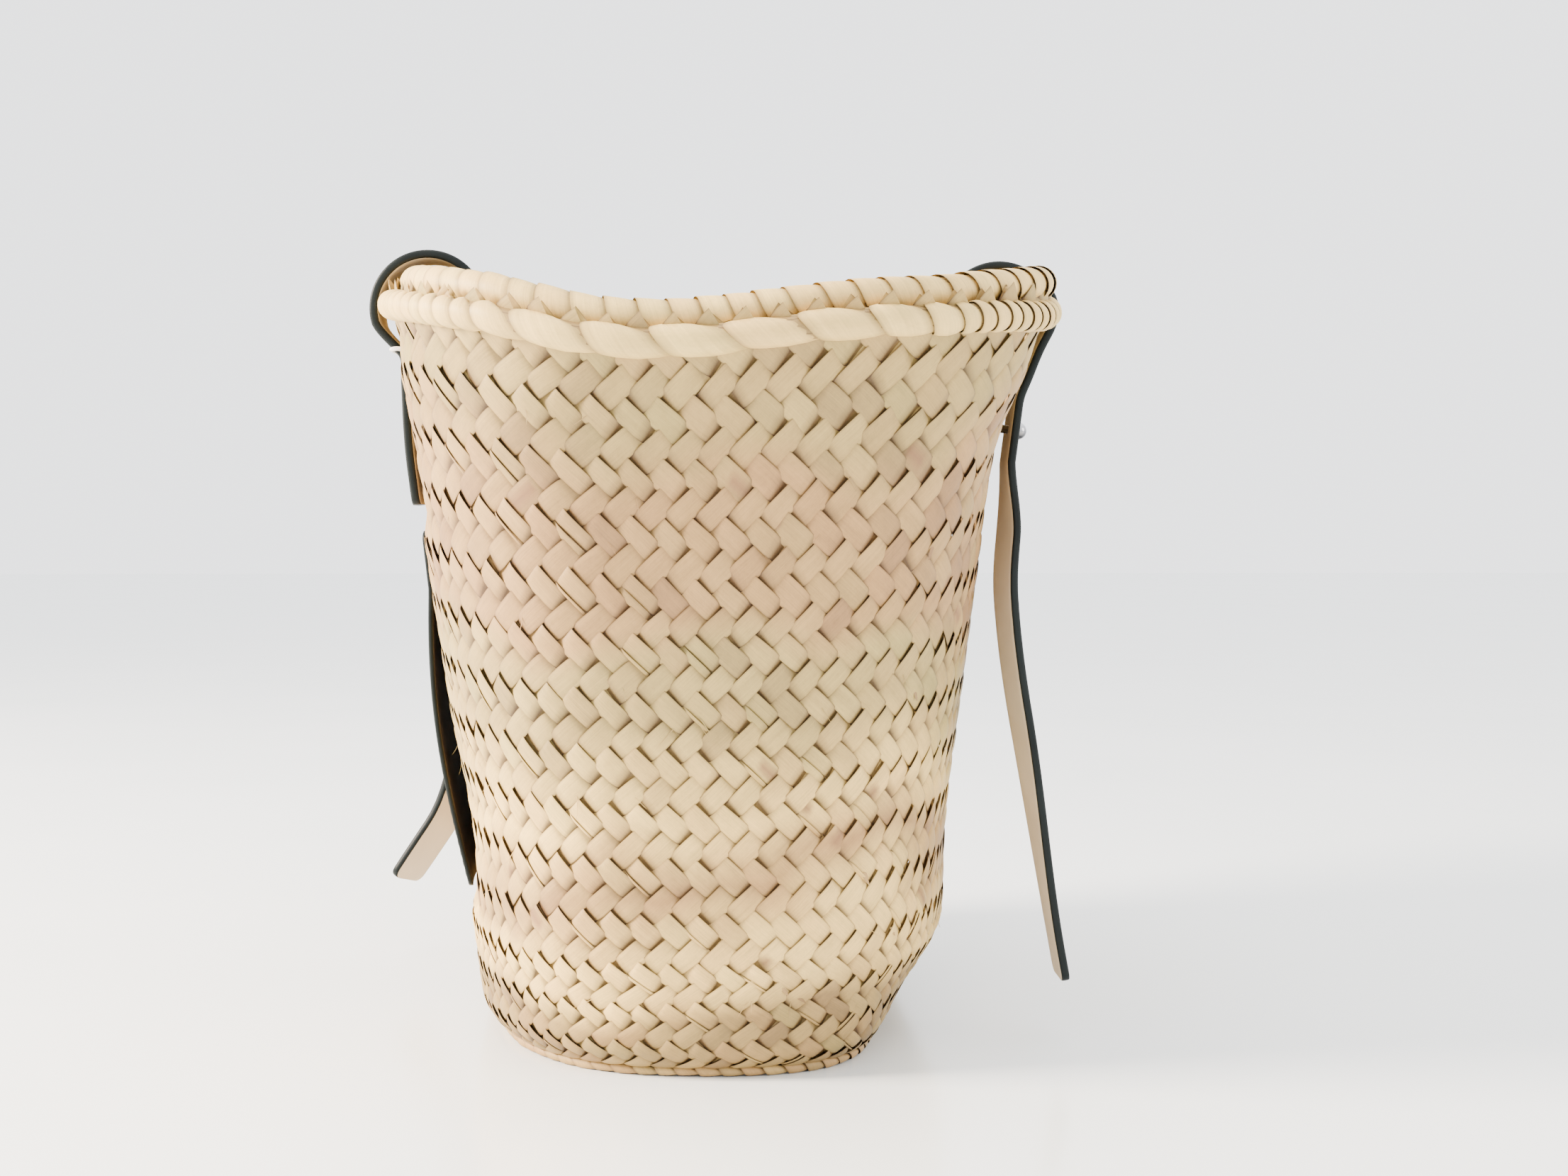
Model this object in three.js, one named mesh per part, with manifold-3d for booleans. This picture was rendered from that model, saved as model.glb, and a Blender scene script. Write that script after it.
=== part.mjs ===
// Basket tote bag: a flared, plaited palm basket with a rolled rim, two leather straps and a leather patch.
// Millimetres, +Z up. The origin is on the floor under the middle of the base.
// X runs along the bag, and the face with the patch looks along -Y.
import * as THREE from "three";
import { mergeVertices } from "three/addons/utils/BufferGeometryUtils.js";
import Module from "manifold-3d";

const wasm = await Module();
wasm.setup();

// Clearances
const SEAM_GAP = 0.3; // between pieces that touch
const HOLE_CLEARANCE = 0.3; // round a post or a cord that goes through
const FACET_ALLOWANCE = 0.35; // how far a facet stands inside the true inner face

// Basket
const FOOT_HALF_LENGTH = 154; // outside of the wall just above the rounded foot
const FOOT_HALF_WIDTH = 105;
const FOOT_RADIUS = 18;
const RIM_HALF_LENGTH = 226; // outside of the wall at its top edge
const RIM_HALF_WIDTH = 132;
const WALL_HEIGHT = 290; // top edge of the wall at the narrow ends
const RIM_RISE = 30; // the top edge climbs this much more in the middle of the long faces
const WALL_THICKNESS = 5;
const WALL_FLARE = 1.4; // 1 is a straight wall, more keeps it upright near the foot
const FOOT_SQUARENESS = 2.4; // 2 is an ellipse, more fills the corners
const RIM_SQUARENESS = 3.5;
const COURSE_COUNT = 4; // turns of the plaited band, sewn edge to edge
const UPPER_ROLL_DIAMETER = 13;
const LOWER_ROLL_DIAMETER = 12;

// Straps
const STRAP_X = 90; // from the middle of the bag to the middle of each strap end
const STRAP_WIDTH = 26;
const STRAP_THICKNESS = 3.4;
const STRAP_EDGE = 0.8; // bevel along the painted edges
const STRAP_CORNER = 4; // rounding of the cut ends
const STRAP_BEND = 4; // length of leather that bends where a strap turns on to the wall
const LOOP_LEAN = 5; // the loop over the rim is centred this far inside the upper roll
const LOOP_SAG = 11; // and this far below its middle
const LEG_SLANT = 9; // degrees from upright where a handle leg hangs inside
const LEG_STRAIGHT = 30;
const HANDLE_DROP = 215;
const TWIST_SHARE = 0.75; // a leg is on edge this far of the way to the middle of the bend
const TURN_IN_SHARE = 0.6; // of the lower roll's radius, below its middle, where a strap turns to the wall
const STUD_HEIGHT = 262;
const STUD_MARGIN = 14; // flat strap above and below a stud
const FIXED_END_HEIGHT = 230;
const TAIL_INWARD = 5; // degrees that a tail can swing towards the wall
const TAIL_BEND = 45; // length over which a tail leaves the vertical
const FRONT_TAIL = { drop: 125, length: 218, lean: 24, twist: 37 };
const BACK_TAIL = { drop: 70, length: 223, lean: 8.6, twist: 0 };

// Studs
const STUD_HEAD_DIAMETER = 7.5;
const STUD_HEAD_HEIGHT = 2.6;
const STUD_POST_DIAMETER = 3.6;
const STUD_CAP_DIAMETER = 9;
const STUD_CAP_THICKNESS = 1.6;
const STUD_POST_END = 0.6; // the post shows this much past its cap

// Ties
const TIE_HEIGHT = 294.5;
const TIE_MARGIN = 3; // below a tie the strap lies on the wall
const TIE_DIAMETER = 2;
const TIE_CORNER = 3;

// Patch
const PATCH_WIDTH = 120;
const PATCH_BOTTOM = 62;
const PATCH_TOP = 219;
const PATCH_THICKNESS = 2;
const PATCH_BULGE = 8; // it bows this far off the wall at half height
const PATCH_CORNER = 5;

// Facets
const RING_POINTS = 72;
const ROLL_SIDES = 10;
const CORD_SIDES = 8;
const FOOT_STEPS = 4;
const COURSE_STEPS = 2;
const FOLD_STEPS = 6;
const HANDLE_STEPS = 40;
const TAIL_STEPS = 14;
const PATCH_STEPS = 10;
const CORNER_STEPS = 3;
const CORNER_SHARE = 0.45; // the most of a straight run that one rounded corner takes
const STUD_SIDES = 20;
const DOME_STEPS = 5;
const LEVEL_ROUNDS = 12; // corrections when a level is found from a height

const { clamp, degToRad, lerp, smoothstep } = THREE.MathUtils;
const UP = new THREE.Vector3(0, 0, 1);
const ALONG = new THREE.Vector3(1, 0, 0);
const QUARTER_TURN = Math.PI / 2;
const HALF_TURN = Math.PI;
const FULL_TURN = 2 * Math.PI;

// Materials
const palm = { color: 0xdcc4a0, roughness: 0.75, metalness: 0 };
const palmRim = { color: 0xe6d2a6, roughness: 0.7, metalness: 0 };
const leather = { color: 0x1a1f1d, roughness: 0.55, metalness: 0 };
const steel = { color: 0xd6d6d8, roughness: 0.2, metalness: 1 };
const cotton = { color: 0xf2f0ea, roughness: 0.9, metalness: 0 };

function makeMesh(name, geometry, look) {
  const mesh = new THREE.Mesh(geometry, new THREE.MeshStandardMaterial(look));
  mesh.name = name;
  return mesh;
}

// Closed bodies from rings of points

function solidFrom(points, triangles) {
  let volume = 0;
  for (const [a, b, c] of triangles) {
    volume += points[a].dot(new THREE.Vector3().crossVectors(points[b], points[c]));
  }
  const facing = volume > 0 ? triangles : triangles.map(([a, b, c]) => [a, c, b]);
  const geometry = new THREE.BufferGeometry().setFromPoints(points);
  geometry.setIndex(facing.flat());
  geometry.computeVertexNormals();
  return geometry;
}

function joinRings(rings, closed) {
  const count = rings[0].length;
  const triangles = [];
  const bands = closed ? rings.length : rings.length - 1;
  for (let i = 0; i < bands; i++) {
    const low = i * count;
    const high = ((i + 1) % rings.length) * count;
    for (let k = 0; k < count; k++) {
      const next = (k + 1) % count;
      triangles.push([low + k, low + next, high + next], [low + k, high + next, high + k]);
    }
  }
  return triangles;
}

// A body whose rings run round and meet the first ring again
function ringSolid(rings) {
  return solidFrom(rings.flat(), joinRings(rings, true));
}

// A body with a flat end at its first and last ring
function endedSolid(rings) {
  const count = rings[0].length;
  const triangles = joinRings(rings, false);
  const last = (rings.length - 1) * count;
  for (let k = 1; k < count - 1; k++) {
    triangles.push([0, k + 1, k], [last, last + k, last + k + 1]);
  }
  return solidFrom(rings.flat(), triangles);
}

// Cutting

function toManifold(geometry) {
  const bare = geometry.clone();
  bare.deleteAttribute("normal");
  bare.deleteAttribute("uv");
  const merged = mergeVertices(bare);
  const vertProperties = new Float32Array(merged.attributes.position.array);
  const triVerts = new Uint32Array(merged.index.array);
  return new wasm.Manifold(new wasm.Mesh({ numProp: 3, vertProperties, triVerts }));
}

function cutAway(geometry, cutters) {
  let body = toManifold(geometry);
  for (const cutter of cutters) {
    body = body.subtract(toManifold(cutter));
  }
  const { vertProperties, triVerts } = body.getMesh();
  const cut = new THREE.BufferGeometry();
  cut.setAttribute("position", new THREE.BufferAttribute(new Float32Array(vertProperties), 3));
  cut.setIndex(new THREE.BufferAttribute(new Uint32Array(triVerts), 1));
  cut.computeVertexNormals();
  return cut;
}

// Paths

// Straight runs between the points, with each inner corner rounded over the given length
function roundedPath(points, cornerLength, closed = false) {
  const path = new THREE.CurvePath();
  const count = points.length;
  const at = (i) => points[(i + count) % count];
  const towards = (from, to) => {
    const length = Math.min(cornerLength, from.distanceTo(to) * CORNER_SHARE);
    return from.clone().addScaledVector(to.clone().sub(from).normalize(), length);
  };
  const hasCorner = (i) => closed || (i > 0 && i < count - 1);
  const enter = (i) => (hasCorner(i) ? towards(at(i), at(i - 1)) : at(i));
  const leave = (i) => (hasCorner(i) ? towards(at(i), at(i + 1)) : at(i));
  const runs = closed ? count : count - 1;
  for (let i = 0; i < runs; i++) {
    const next = (i + 1) % count;
    path.add(new THREE.LineCurve3(leave(i), enter(next)));
    if (hasCorner(next)) {
      path.add(new THREE.QuadraticBezierCurve3(enter(next), at(next), leave(next)));
    }
  }
  return path;
}

function tangentsOf(points, closed = false) {
  const last = points.length - 1;
  return points.map((_, i) => {
    const before = closed ? points[(i + last) % points.length] : points[Math.max(i - 1, 0)];
    const after = closed ? points[(i + 1) % points.length] : points[Math.min(i + 1, last)];
    return after.clone().sub(before).normalize();
  });
}

// A round tube along a closed loop of points that lies more or less level
function roundLoop(points, radius, sides) {
  const tangents = tangentsOf(points, true);
  const rings = points.map((point, i) => {
    const outward = new THREE.Vector3().crossVectors(tangents[i], UP).normalize();
    const upward = new THREE.Vector3().crossVectors(outward, tangents[i]);
    return Array.from({ length: sides }, (_, k) => {
      const angle = (FULL_TURN * k) / sides;
      return point
        .clone()
        .addScaledVector(outward, radius * Math.cos(angle))
        .addScaledVector(upward, radius * Math.sin(angle));
    });
  });
  return ringSolid(rings);
}

// Half-width of a strip this far from its end, where the end's corners are rounded
function roundedWidth(halfWidth, corner, fromEnd) {
  const into = corner - Math.min(fromEnd, corner);
  return halfWidth - corner + Math.sqrt(corner * corner - into * into);
}

// The wall as one surface. A level is a height on it at the narrow ends, and an inset is a depth into it.

function climb(level) {
  return clamp((level - FOOT_RADIUS) / (WALL_HEIGHT - FOOT_RADIUS), 0, 1);
}

function halfAxes(level, inset) {
  const flare = climb(level) ** WALL_FLARE;
  return {
    length: lerp(FOOT_HALF_LENGTH, RIM_HALF_LENGTH, flare) - inset,
    width: lerp(FOOT_HALF_WIDTH, RIM_HALF_WIDTH, flare) - inset,
  };
}

// The plan is nearly an ellipse at the foot, and its corners fill out towards the rim
function squareness(level) {
  return lerp(FOOT_SQUARENESS, RIM_SQUARENESS, climb(level));
}

function wallPoint(angle, level, inset) {
  const half = halfAxes(level, inset);
  const power = squareness(level);
  const across = Math.cos(angle);
  const deep = Math.sin(angle);
  const reach = (Math.abs(across) ** power + Math.abs(deep) ** power) ** (-1 / power);
  const height = level + RIM_RISE * climb(level) * deep * deep;
  return new THREE.Vector3(half.length * across * reach, half.width * deep * reach, height);
}

function wallRing(level, inset) {
  const step = FULL_TURN / RING_POINTS;
  return Array.from({ length: RING_POINTS }, (_, k) => wallPoint(step * k, level, inset));
}

// Half-width and height of the wall where it passes a given x
function wallAcross(x, level, inset) {
  const half = halfAxes(level, inset);
  const power = squareness(level);
  const along = Math.abs(x) / half.length;
  const share = (1 - along ** power) ** (1 / power);
  const bow = (share * share) / (share * share + along * along);
  return { out: half.width * share, z: level + RIM_RISE * climb(level) * bow };
}

function levelAt(x, z, inset) {
  let level = z;
  for (let i = 0; i < LEVEL_ROUNDS; i++) {
    level += z - wallAcross(x, level, inset).z;
  }
  return level;
}

function wallOut(x, z, inset = 0) {
  return wallAcross(x, levelAt(x, z, inset), inset).out;
}

// Base and wall

function makeBase() {
  const outline = wallRing(0, FOOT_RADIUS + SEAM_GAP).map((p) => new THREE.Vector2(p.x, p.y));
  const shape = new THREE.Shape(outline);
  const geometry = new THREE.ExtrudeGeometry(shape, { depth: WALL_THICKNESS, bevelEnabled: false });
  return makeMesh("base_panel", geometry, palm);
}

// The rounded foot, at a depth into the wall
function footRings(depth) {
  const radius = FOOT_RADIUS - depth;
  return Array.from({ length: FOOT_STEPS + 1 }, (_, i) => {
    const angle = (QUARTER_TURN * i) / FOOT_STEPS;
    const inset = FOOT_RADIUS - radius * Math.sin(angle);
    const ring = wallRing(0, inset);
    ring.forEach((p) => p.setZ(FOOT_RADIUS - radius * Math.cos(angle)));
    return ring;
  });
}

function courseRings(low, high, depth) {
  const level = (i) => lerp(low, high, i / COURSE_STEPS);
  return Array.from({ length: COURSE_STEPS + 1 }, (_, i) => wallRing(level(i), depth));
}

function makeCourse(index, cutters) {
  const isFirst = index === 0;
  const isLast = index === COURSE_COUNT - 1;
  const low = isFirst ? FOOT_RADIUS : (WALL_HEIGHT * index) / COURSE_COUNT + SEAM_GAP / 2;
  const high = isLast ? WALL_HEIGHT : (WALL_HEIGHT * (index + 1)) / COURSE_COUNT - SEAM_GAP / 2;
  const face = (depth) => {
    const upright = courseRings(low, high, depth);
    return isFirst ? [...footRings(depth), ...upright.slice(1)] : upright;
  };
  const shell = ringSolid([...face(0), ...face(WALL_THICKNESS).reverse()]);
  return makeMesh(`wall_course_${index + 1}`, cutAway(shell, cutters), palm);
}

// Rim: a wrapped roll on the wall's edge, and a second one under it against the outside of the wall

const upperRadius = UPPER_ROLL_DIAMETER / 2;
const lowerRadius = LOWER_ROLL_DIAMETER / 2;
const rollPitch = upperRadius + lowerRadius + SEAM_GAP;
const upperInset = WALL_THICKNESS / 2;
const upperLift = SEAM_GAP + upperRadius;
const lowerInset = -(SEAM_GAP + lowerRadius);
const lowerLift = upperLift - Math.sqrt(rollPitch ** 2 - (upperInset - lowerInset) ** 2);

function makeRoll(name, inset, lift, radius) {
  const line = wallRing(WALL_HEIGHT, inset);
  line.forEach((p) => p.setZ(p.z + lift));
  return makeMesh(name, roundLoop(line, radius, ROLL_SIDES), palmRim);
}

// Straps. Each is laid out for the front of the bag, where "out" is the distance towards -Y.

const halfStrap = STRAP_WIDTH / 2;
const halfLeather = STRAP_THICKNESS / 2;
const innerEdgeX = STRAP_X - halfStrap;

// The loop over the rim clears both rolls across the strap's whole width
const upperRoll = wallAcross(STRAP_X, WALL_HEIGHT, upperInset);
const lowerRoll = wallAcross(STRAP_X, WALL_HEIGHT, lowerInset);
const lowerRollEdge = wallAcross(innerEdgeX, WALL_HEIGHT, lowerInset);
const rollSkew = Math.hypot(lowerRollEdge.out - lowerRoll.out, lowerRollEdge.z - lowerRoll.z);
const loopOut = upperRoll.out - LOOP_LEAN;
const loopZ = upperRoll.z + upperLift - LOOP_SAG;
const loopRadius =
  SEAM_GAP +
  Math.max(
    Math.hypot(LOOP_LEAN, LOOP_SAG) + upperRadius + rollSkew,
    lowerRollEdge.out + lowerRadius - loopOut,
  );
const loopEndAngle = HALF_TURN - degToRad(LEG_SLANT);
const foldGapAngle = SEAM_GAP / (loopRadius + STRAP_THICKNESS);

function frontPoint(x, out, z) {
  return new THREE.Vector3(x, -out, z);
}

function loopPoint(x, angle, radius) {
  return frontPoint(x, loopOut + radius * Math.cos(angle), loopZ + radius * Math.sin(angle));
}

// One bevelled strap section. The face is the way the grain side looks, and shear slants the section's cut.
function strapSection({ at, tangent, face, halfWidth = halfStrap, shear = 0 }) {
  const across = new THREE.Vector3().crossVectors(face, tangent).normalize();
  const corners = [
    [halfWidth, -halfLeather + STRAP_EDGE],
    [halfWidth, halfLeather - STRAP_EDGE],
    [halfWidth - STRAP_EDGE, halfLeather],
    [STRAP_EDGE - halfWidth, halfLeather],
    [-halfWidth, halfLeather - STRAP_EDGE],
    [-halfWidth, -halfLeather + STRAP_EDGE],
    [STRAP_EDGE - halfWidth, -halfLeather],
    [halfWidth - STRAP_EDGE, -halfLeather],
  ];
  return corners.map(([w, t]) =>
    at
      .clone()
      .addScaledVector(across, w)
      .addScaledVector(face, t)
      .addScaledVector(tangent, shear * (halfLeather - t)),
  );
}

function strapSolid(stations) {
  return endedSolid(stations.map(strapSection));
}

// A strap run that stays in its own upright plane, listed from the handle towards the free end
function uprightStations(points) {
  return tangentsOf(points).map((tangent, i) => ({
    at: points[i],
    tangent,
    face: new THREE.Vector3().crossVectors(tangent, ALONG).normalize(),
  }));
}

// Stations for the last stretch of a strap, where the cut end's corners are rounded
function withRoundedEnd(stations) {
  const end = stations[stations.length - 1];
  const rounded = Array.from({ length: CORNER_STEPS + 1 }, (_, i) => {
    const fromEnd = STRAP_CORNER * (1 - i / CORNER_STEPS);
    const at = end.at.clone().addScaledVector(end.tangent, -fromEnd);
    return { ...end, at, halfWidth: roundedWidth(halfStrap, STRAP_CORNER, fromEnd) };
  });
  const before = stations.filter((s) => s.at.distanceTo(end.at) > STRAP_CORNER + STRAP_EDGE);
  return [...before, ...rounded];
}

// Two stiff lengths follow the loop, so that the strap can unroll over the rim as its handle is lifted
function makeFold(name, x, fromAngle, toAngle) {
  const radius = loopRadius + halfLeather;
  const start = fromAngle - foldGapAngle / 2;
  const end = toAngle + foldGapAngle / 2;
  const stations = Array.from({ length: FOLD_STEPS + 1 }, (_, i) => {
    const angle = lerp(start, end, i / FOLD_STEPS);
    const face = frontPoint(0, Math.cos(angle), Math.sin(angle));
    return {
      at: loopPoint(x, angle, radius),
      tangent: new THREE.Vector3().crossVectors(ALONG, face).negate(),
      face,
    };
  });
  return makeMesh(name, strapSolid(stations), leather);
}

// Where the strap lies on the wall, at a height
function onWall(x, z) {
  return frontPoint(x, wallOut(innerEdgeX, z) + SEAM_GAP + halfLeather, z);
}

// From the loop, past the lower roll and down on to the wall at one height, then along it to another
function outsideRun(x, touchZ, endZ) {
  const out = loopOut + loopRadius + halfLeather;
  const top = loopZ - SEAM_GAP / 2;
  const pastRoll = lowerRoll.z + lowerLift - lowerRadius * TURN_IN_SHARE;
  const points = [
    frontPoint(x, out, top),
    frontPoint(x, out, pastRoll),
    onWall(x, touchZ),
    onWall(x, endZ),
  ];
  return roundedPath(points, STRAP_BEND);
}

function outsideStations(run) {
  const stations = uprightStations(run.getPoints(CORNER_STEPS));
  stations[0].tangent = new THREE.Vector3(0, 0, -1);
  stations[0].face = frontPoint(0, 1, 0);
  return stations;
}

// The handle hangs inside as a U. Its legs lie flat to the wall, and it turns on edge round the bend.
function makeHandle(name) {
  const legTop = loopPoint(0, loopEndAngle + foldGapAngle / 2, loopRadius + halfLeather);
  const slant = degToRad(LEG_SLANT);
  const down = frontPoint(0, -Math.sin(slant), -Math.cos(slant));
  const inward = frontPoint(0, -Math.cos(slant), Math.sin(slant));
  const bend = HANDLE_DROP - LEG_STRAIGHT;
  const legStations = [1, -1].map((end) => ({
    at: legTop.clone().addScaledVector(ALONG, end * STRAP_X),
    tangent: down.clone().multiplyScalar(end),
    face: inward,
  }));
  const bendStations = Array.from({ length: HANDLE_STEPS + 1 }, (_, i) => {
    const turn = (HALF_TURN * i) / HANDLE_STEPS;
    const at = legTop
      .clone()
      .addScaledVector(ALONG, STRAP_X * Math.cos(turn))
      .addScaledVector(down, LEG_STRAIGHT + bend * Math.sin(turn));
    const tangent = ALONG.clone()
      .multiplyScalar(-STRAP_X * Math.sin(turn))
      .addScaledVector(down, bend * Math.cos(turn))
      .normalize();
    const outOfBend = new THREE.Vector3().crossVectors(inward, tangent).multiplyScalar(-1);
    const fromLeg = Math.min(turn, HALF_TURN - turn) / QUARTER_TURN;
    const twist = QUARTER_TURN * smoothstep(fromLeg, 0, TWIST_SHARE);
    const face = inward.clone().multiplyScalar(Math.cos(twist)).addScaledVector(outOfBend, Math.sin(twist));
    return { at, tangent, face };
  });
  return makeMesh(name, strapSolid([legStations[0], ...bendStations, legStations[1]]), leather);
}

const tiedRun = outsideRun(STRAP_X, TIE_HEIGHT - TIE_MARGIN, FIXED_END_HEIGHT);

function makeFixedEnd(name) {
  const stations = withRoundedEnd(outsideStations(tiedRun));
  return makeMesh(name, strapSolid(stations), leather);
}

// The stud goes square through the strap and on through the wall
const tailTopZ = STUD_HEIGHT - STUD_MARGIN;
const studSeat = onWall(-STRAP_X, STUD_HEIGHT);
const studRun = onWall(-STRAP_X, tailTopZ).sub(onWall(-STRAP_X, STUD_HEIGHT + STUD_MARGIN)).normalize();
const studAxis = new THREE.Vector3().crossVectors(studRun, ALONG).normalize();
const postRadius = STUD_POST_DIAMETER / 2;
const capRadius = STUD_CAP_DIAMETER / 2;

// Distance along the stud from the strap's grain face to the inside of the wall
function studGrip() {
  const insideX = STRAP_X + capRadius;
  const inside = wallOut(insideX, STUD_HEIGHT - capRadius, WALL_THICKNESS);
  return halfLeather + (-studSeat.y - inside) / -studAxis.y + FACET_ALLOWANCE;
}

function alongStud(geometry) {
  const grainFace = studSeat.clone().addScaledVector(studAxis, halfLeather);
  const turn = new THREE.Quaternion().setFromUnitVectors(new THREE.Vector3(0, 1, 0), studAxis);
  return geometry.applyQuaternion(turn).translate(grainFace.x, grainFace.y, grainFace.z);
}

function makeStud(name) {
  const tip = -(studGrip() + SEAM_GAP + STUD_CAP_THICKNESS + STUD_POST_END);
  const headRadius = STUD_HEAD_DIAMETER / 2;
  const dome = Array.from({ length: DOME_STEPS + 1 }, (_, i) => {
    const angle = (QUARTER_TURN * i) / DOME_STEPS;
    return new THREE.Vector2(headRadius * Math.cos(angle), SEAM_GAP + STUD_HEAD_HEIGHT * Math.sin(angle));
  });
  dome[dome.length - 1].x = 0;
  const profile = [
    new THREE.Vector2(0, tip),
    new THREE.Vector2(postRadius, tip),
    new THREE.Vector2(postRadius, SEAM_GAP),
    ...dome,
  ];
  return makeMesh(name, alongStud(new THREE.LatheGeometry(profile, STUD_SIDES)), steel);
}

function makeStudCap(name) {
  const bore = postRadius + HOLE_CLEARANCE;
  const seat = -(studGrip() + SEAM_GAP);
  const back = seat - STUD_CAP_THICKNESS;
  const profile = [
    new THREE.Vector2(bore, back),
    new THREE.Vector2(capRadius, back),
    new THREE.Vector2(capRadius, seat),
    new THREE.Vector2(bore, seat),
    new THREE.Vector2(bore, back),
  ];
  return makeMesh(name, alongStud(new THREE.LatheGeometry(profile, STUD_SIDES)), steel);
}

function studCutter() {
  const length = 2 * (studGrip() + STUD_CAP_THICKNESS);
  const radius = postRadius + HOLE_CLEARANCE;
  return alongStud(new THREE.CylinderGeometry(radius, radius, length, STUD_SIDES));
}

function makeStudLength(name) {
  const run = outsideRun(-STRAP_X, STUD_HEIGHT + STUD_MARGIN, tailTopZ + SEAM_GAP);
  const plain = strapSolid(outsideStations(run));
  return makeMesh(name, cutAway(plain, [studCutter()]), leather);
}

// The free end hangs from below its stud and then leans away from the wall
function makeTail(name, { drop, length, lean, twist }) {
  const top = onWall(-STRAP_X, tailTopZ);
  const leanAngle = degToRad(lean);
  const knee = top.clone().addScaledVector(UP, -drop);
  const end = knee
    .clone()
    .add(frontPoint(0, Math.sin(leanAngle), -Math.cos(leanAngle)).multiplyScalar(length - drop));
  const points = roundedPath([top, knee, end], TAIL_BEND).getSpacedPoints(TAIL_STEPS);
  const stations = uprightStations(points).map((station, i) => {
    const turn = degToRad(twist) * smoothstep(i / TAIL_STEPS, 0, 1);
    return { ...station, face: station.face.clone().applyAxisAngle(station.tangent, turn) };
  });
  stations[0].tangent = studRun;
  stations[0].face = studAxis;
  stations[0].shear = Math.tan(degToRad(TAIL_INWARD));
  return makeMesh(name, strapSolid(withRoundedEnd(stations)), leather);
}

// A cord holds each fixed end: round the strap, and through the wall on both sides of it
function tieLoop() {
  const radius = TIE_DIAMETER / 2;
  const run = tiedRun.getPoints(CORNER_STEPS);
  const below = run.findIndex((p) => p.z < TIE_HEIGHT);
  const share = (run[below - 1].z - TIE_HEIGHT) / (run[below - 1].z - run[below].z);
  const middle = run[below - 1].clone().lerp(run[below], share);
  const steep = run[below - 1].clone().sub(run[below]).normalize().z;
  const front = -middle.y + (halfLeather + SEAM_GAP + radius) / steep;
  const beside = halfStrap + SEAM_GAP + radius;
  const insideOut = (x) => wallOut(x, TIE_HEIGHT, WALL_THICKNESS) - FACET_ALLOWANCE - SEAM_GAP - radius;
  const left = STRAP_X - beside;
  const right = STRAP_X + beside;
  const corners = [
    frontPoint(left, front, TIE_HEIGHT),
    frontPoint(right, front, TIE_HEIGHT),
    frontPoint(right, insideOut(right), TIE_HEIGHT),
    frontPoint(left, insideOut(left), TIE_HEIGHT),
  ];
  const points = roundedPath(corners, TIE_CORNER, true).getPoints(CORNER_STEPS);
  points.pop();
  return points;
}

function makeTie(name) {
  return makeMesh(name, roundLoop(tieLoop(), TIE_DIAMETER / 2, CORD_SIDES), cotton);
}

function tieCutter() {
  return roundLoop(tieLoop(), TIE_DIAMETER / 2 + HOLE_CLEARANCE, CORD_SIDES);
}

// One strap with everything on it, as it goes on the front of the bag
function makeStrap(side, tail) {
  const strap = new THREE.Group();
  const middle = loopEndAngle / 2;
  const ends = { tied: STRAP_X, studded: -STRAP_X };
  strap.add(makeHandle(`${side}_handle`));
  for (const [end, x] of Object.entries(ends)) {
    strap.add(makeFold(`${side}_upper_fold_${end}`, x, loopEndAngle, middle));
    strap.add(makeFold(`${side}_lower_fold_${end}`, x, middle, 0));
  }
  strap.add(makeFixedEnd(`${side}_tied_end`));
  strap.add(makeTie(`${side}_tie`));
  strap.add(makeStudLength(`${side}_studded_length`));
  strap.add(makeStud(`${side}_stud`));
  strap.add(makeStudCap(`${side}_stud_cap`));
  strap.add(makeTail(`${side}_tail`, tail));
  return strap;
}

// Patch: a leather sheet held along its top and bottom, bowing off the wall between them
function makePatch() {
  const height = PATCH_TOP - PATCH_BOTTOM;
  const heights = [];
  for (let i = 0; i <= CORNER_STEPS; i++) {
    heights.push(PATCH_CORNER * (i / CORNER_STEPS));
  }
  for (let i = 1; i < PATCH_STEPS; i++) {
    heights.push(lerp(PATCH_CORNER, height - PATCH_CORNER, i / PATCH_STEPS));
  }
  for (let i = 0; i <= CORNER_STEPS; i++) {
    heights.push(height - PATCH_CORNER * (1 - i / CORNER_STEPS));
  }
  const rings = heights.map((up) => {
    const z = PATCH_BOTTOM + up;
    const halfWidth = roundedWidth(PATCH_WIDTH / 2, PATCH_CORNER, Math.min(up, height - up));
    const bow = PATCH_BULGE * Math.sin((HALF_TURN * up) / height);
    const row = (depth) =>
      Array.from({ length: PATCH_STEPS + 1 }, (_, i) => {
        const x = lerp(-halfWidth, halfWidth, i / PATCH_STEPS);
        return frontPoint(x, wallOut(x, z) + SEAM_GAP + bow + depth, z);
      });
    return [...row(0), ...row(PATCH_THICKNESS).reverse()];
  });
  return makeMesh("front_patch", endedSolid(rings), leather);
}

// Assembly. The back strap is the front one turned half round, with its own tail.
const turned = (geometry) => geometry.rotateZ(HALF_TURN);
const wallCutters = [studCutter(), tieCutter(), turned(studCutter()), turned(tieCutter())];

const bag = new THREE.Group();
bag.add(makeBase());
for (let i = 0; i < COURSE_COUNT; i++) {
  bag.add(makeCourse(i, wallCutters));
}
bag.add(makeRoll("rim_lower_roll", lowerInset, lowerLift, lowerRadius));
bag.add(makeRoll("rim_upper_roll", upperInset, upperLift, upperRadius));
bag.add(makePatch());
bag.add(makeStrap("front", FRONT_TAIL));
const backStrap = makeStrap("back", BACK_TAIL);
backStrap.rotation.z = HALF_TURN;
bag.add(backStrap);

export default bag;
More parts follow.
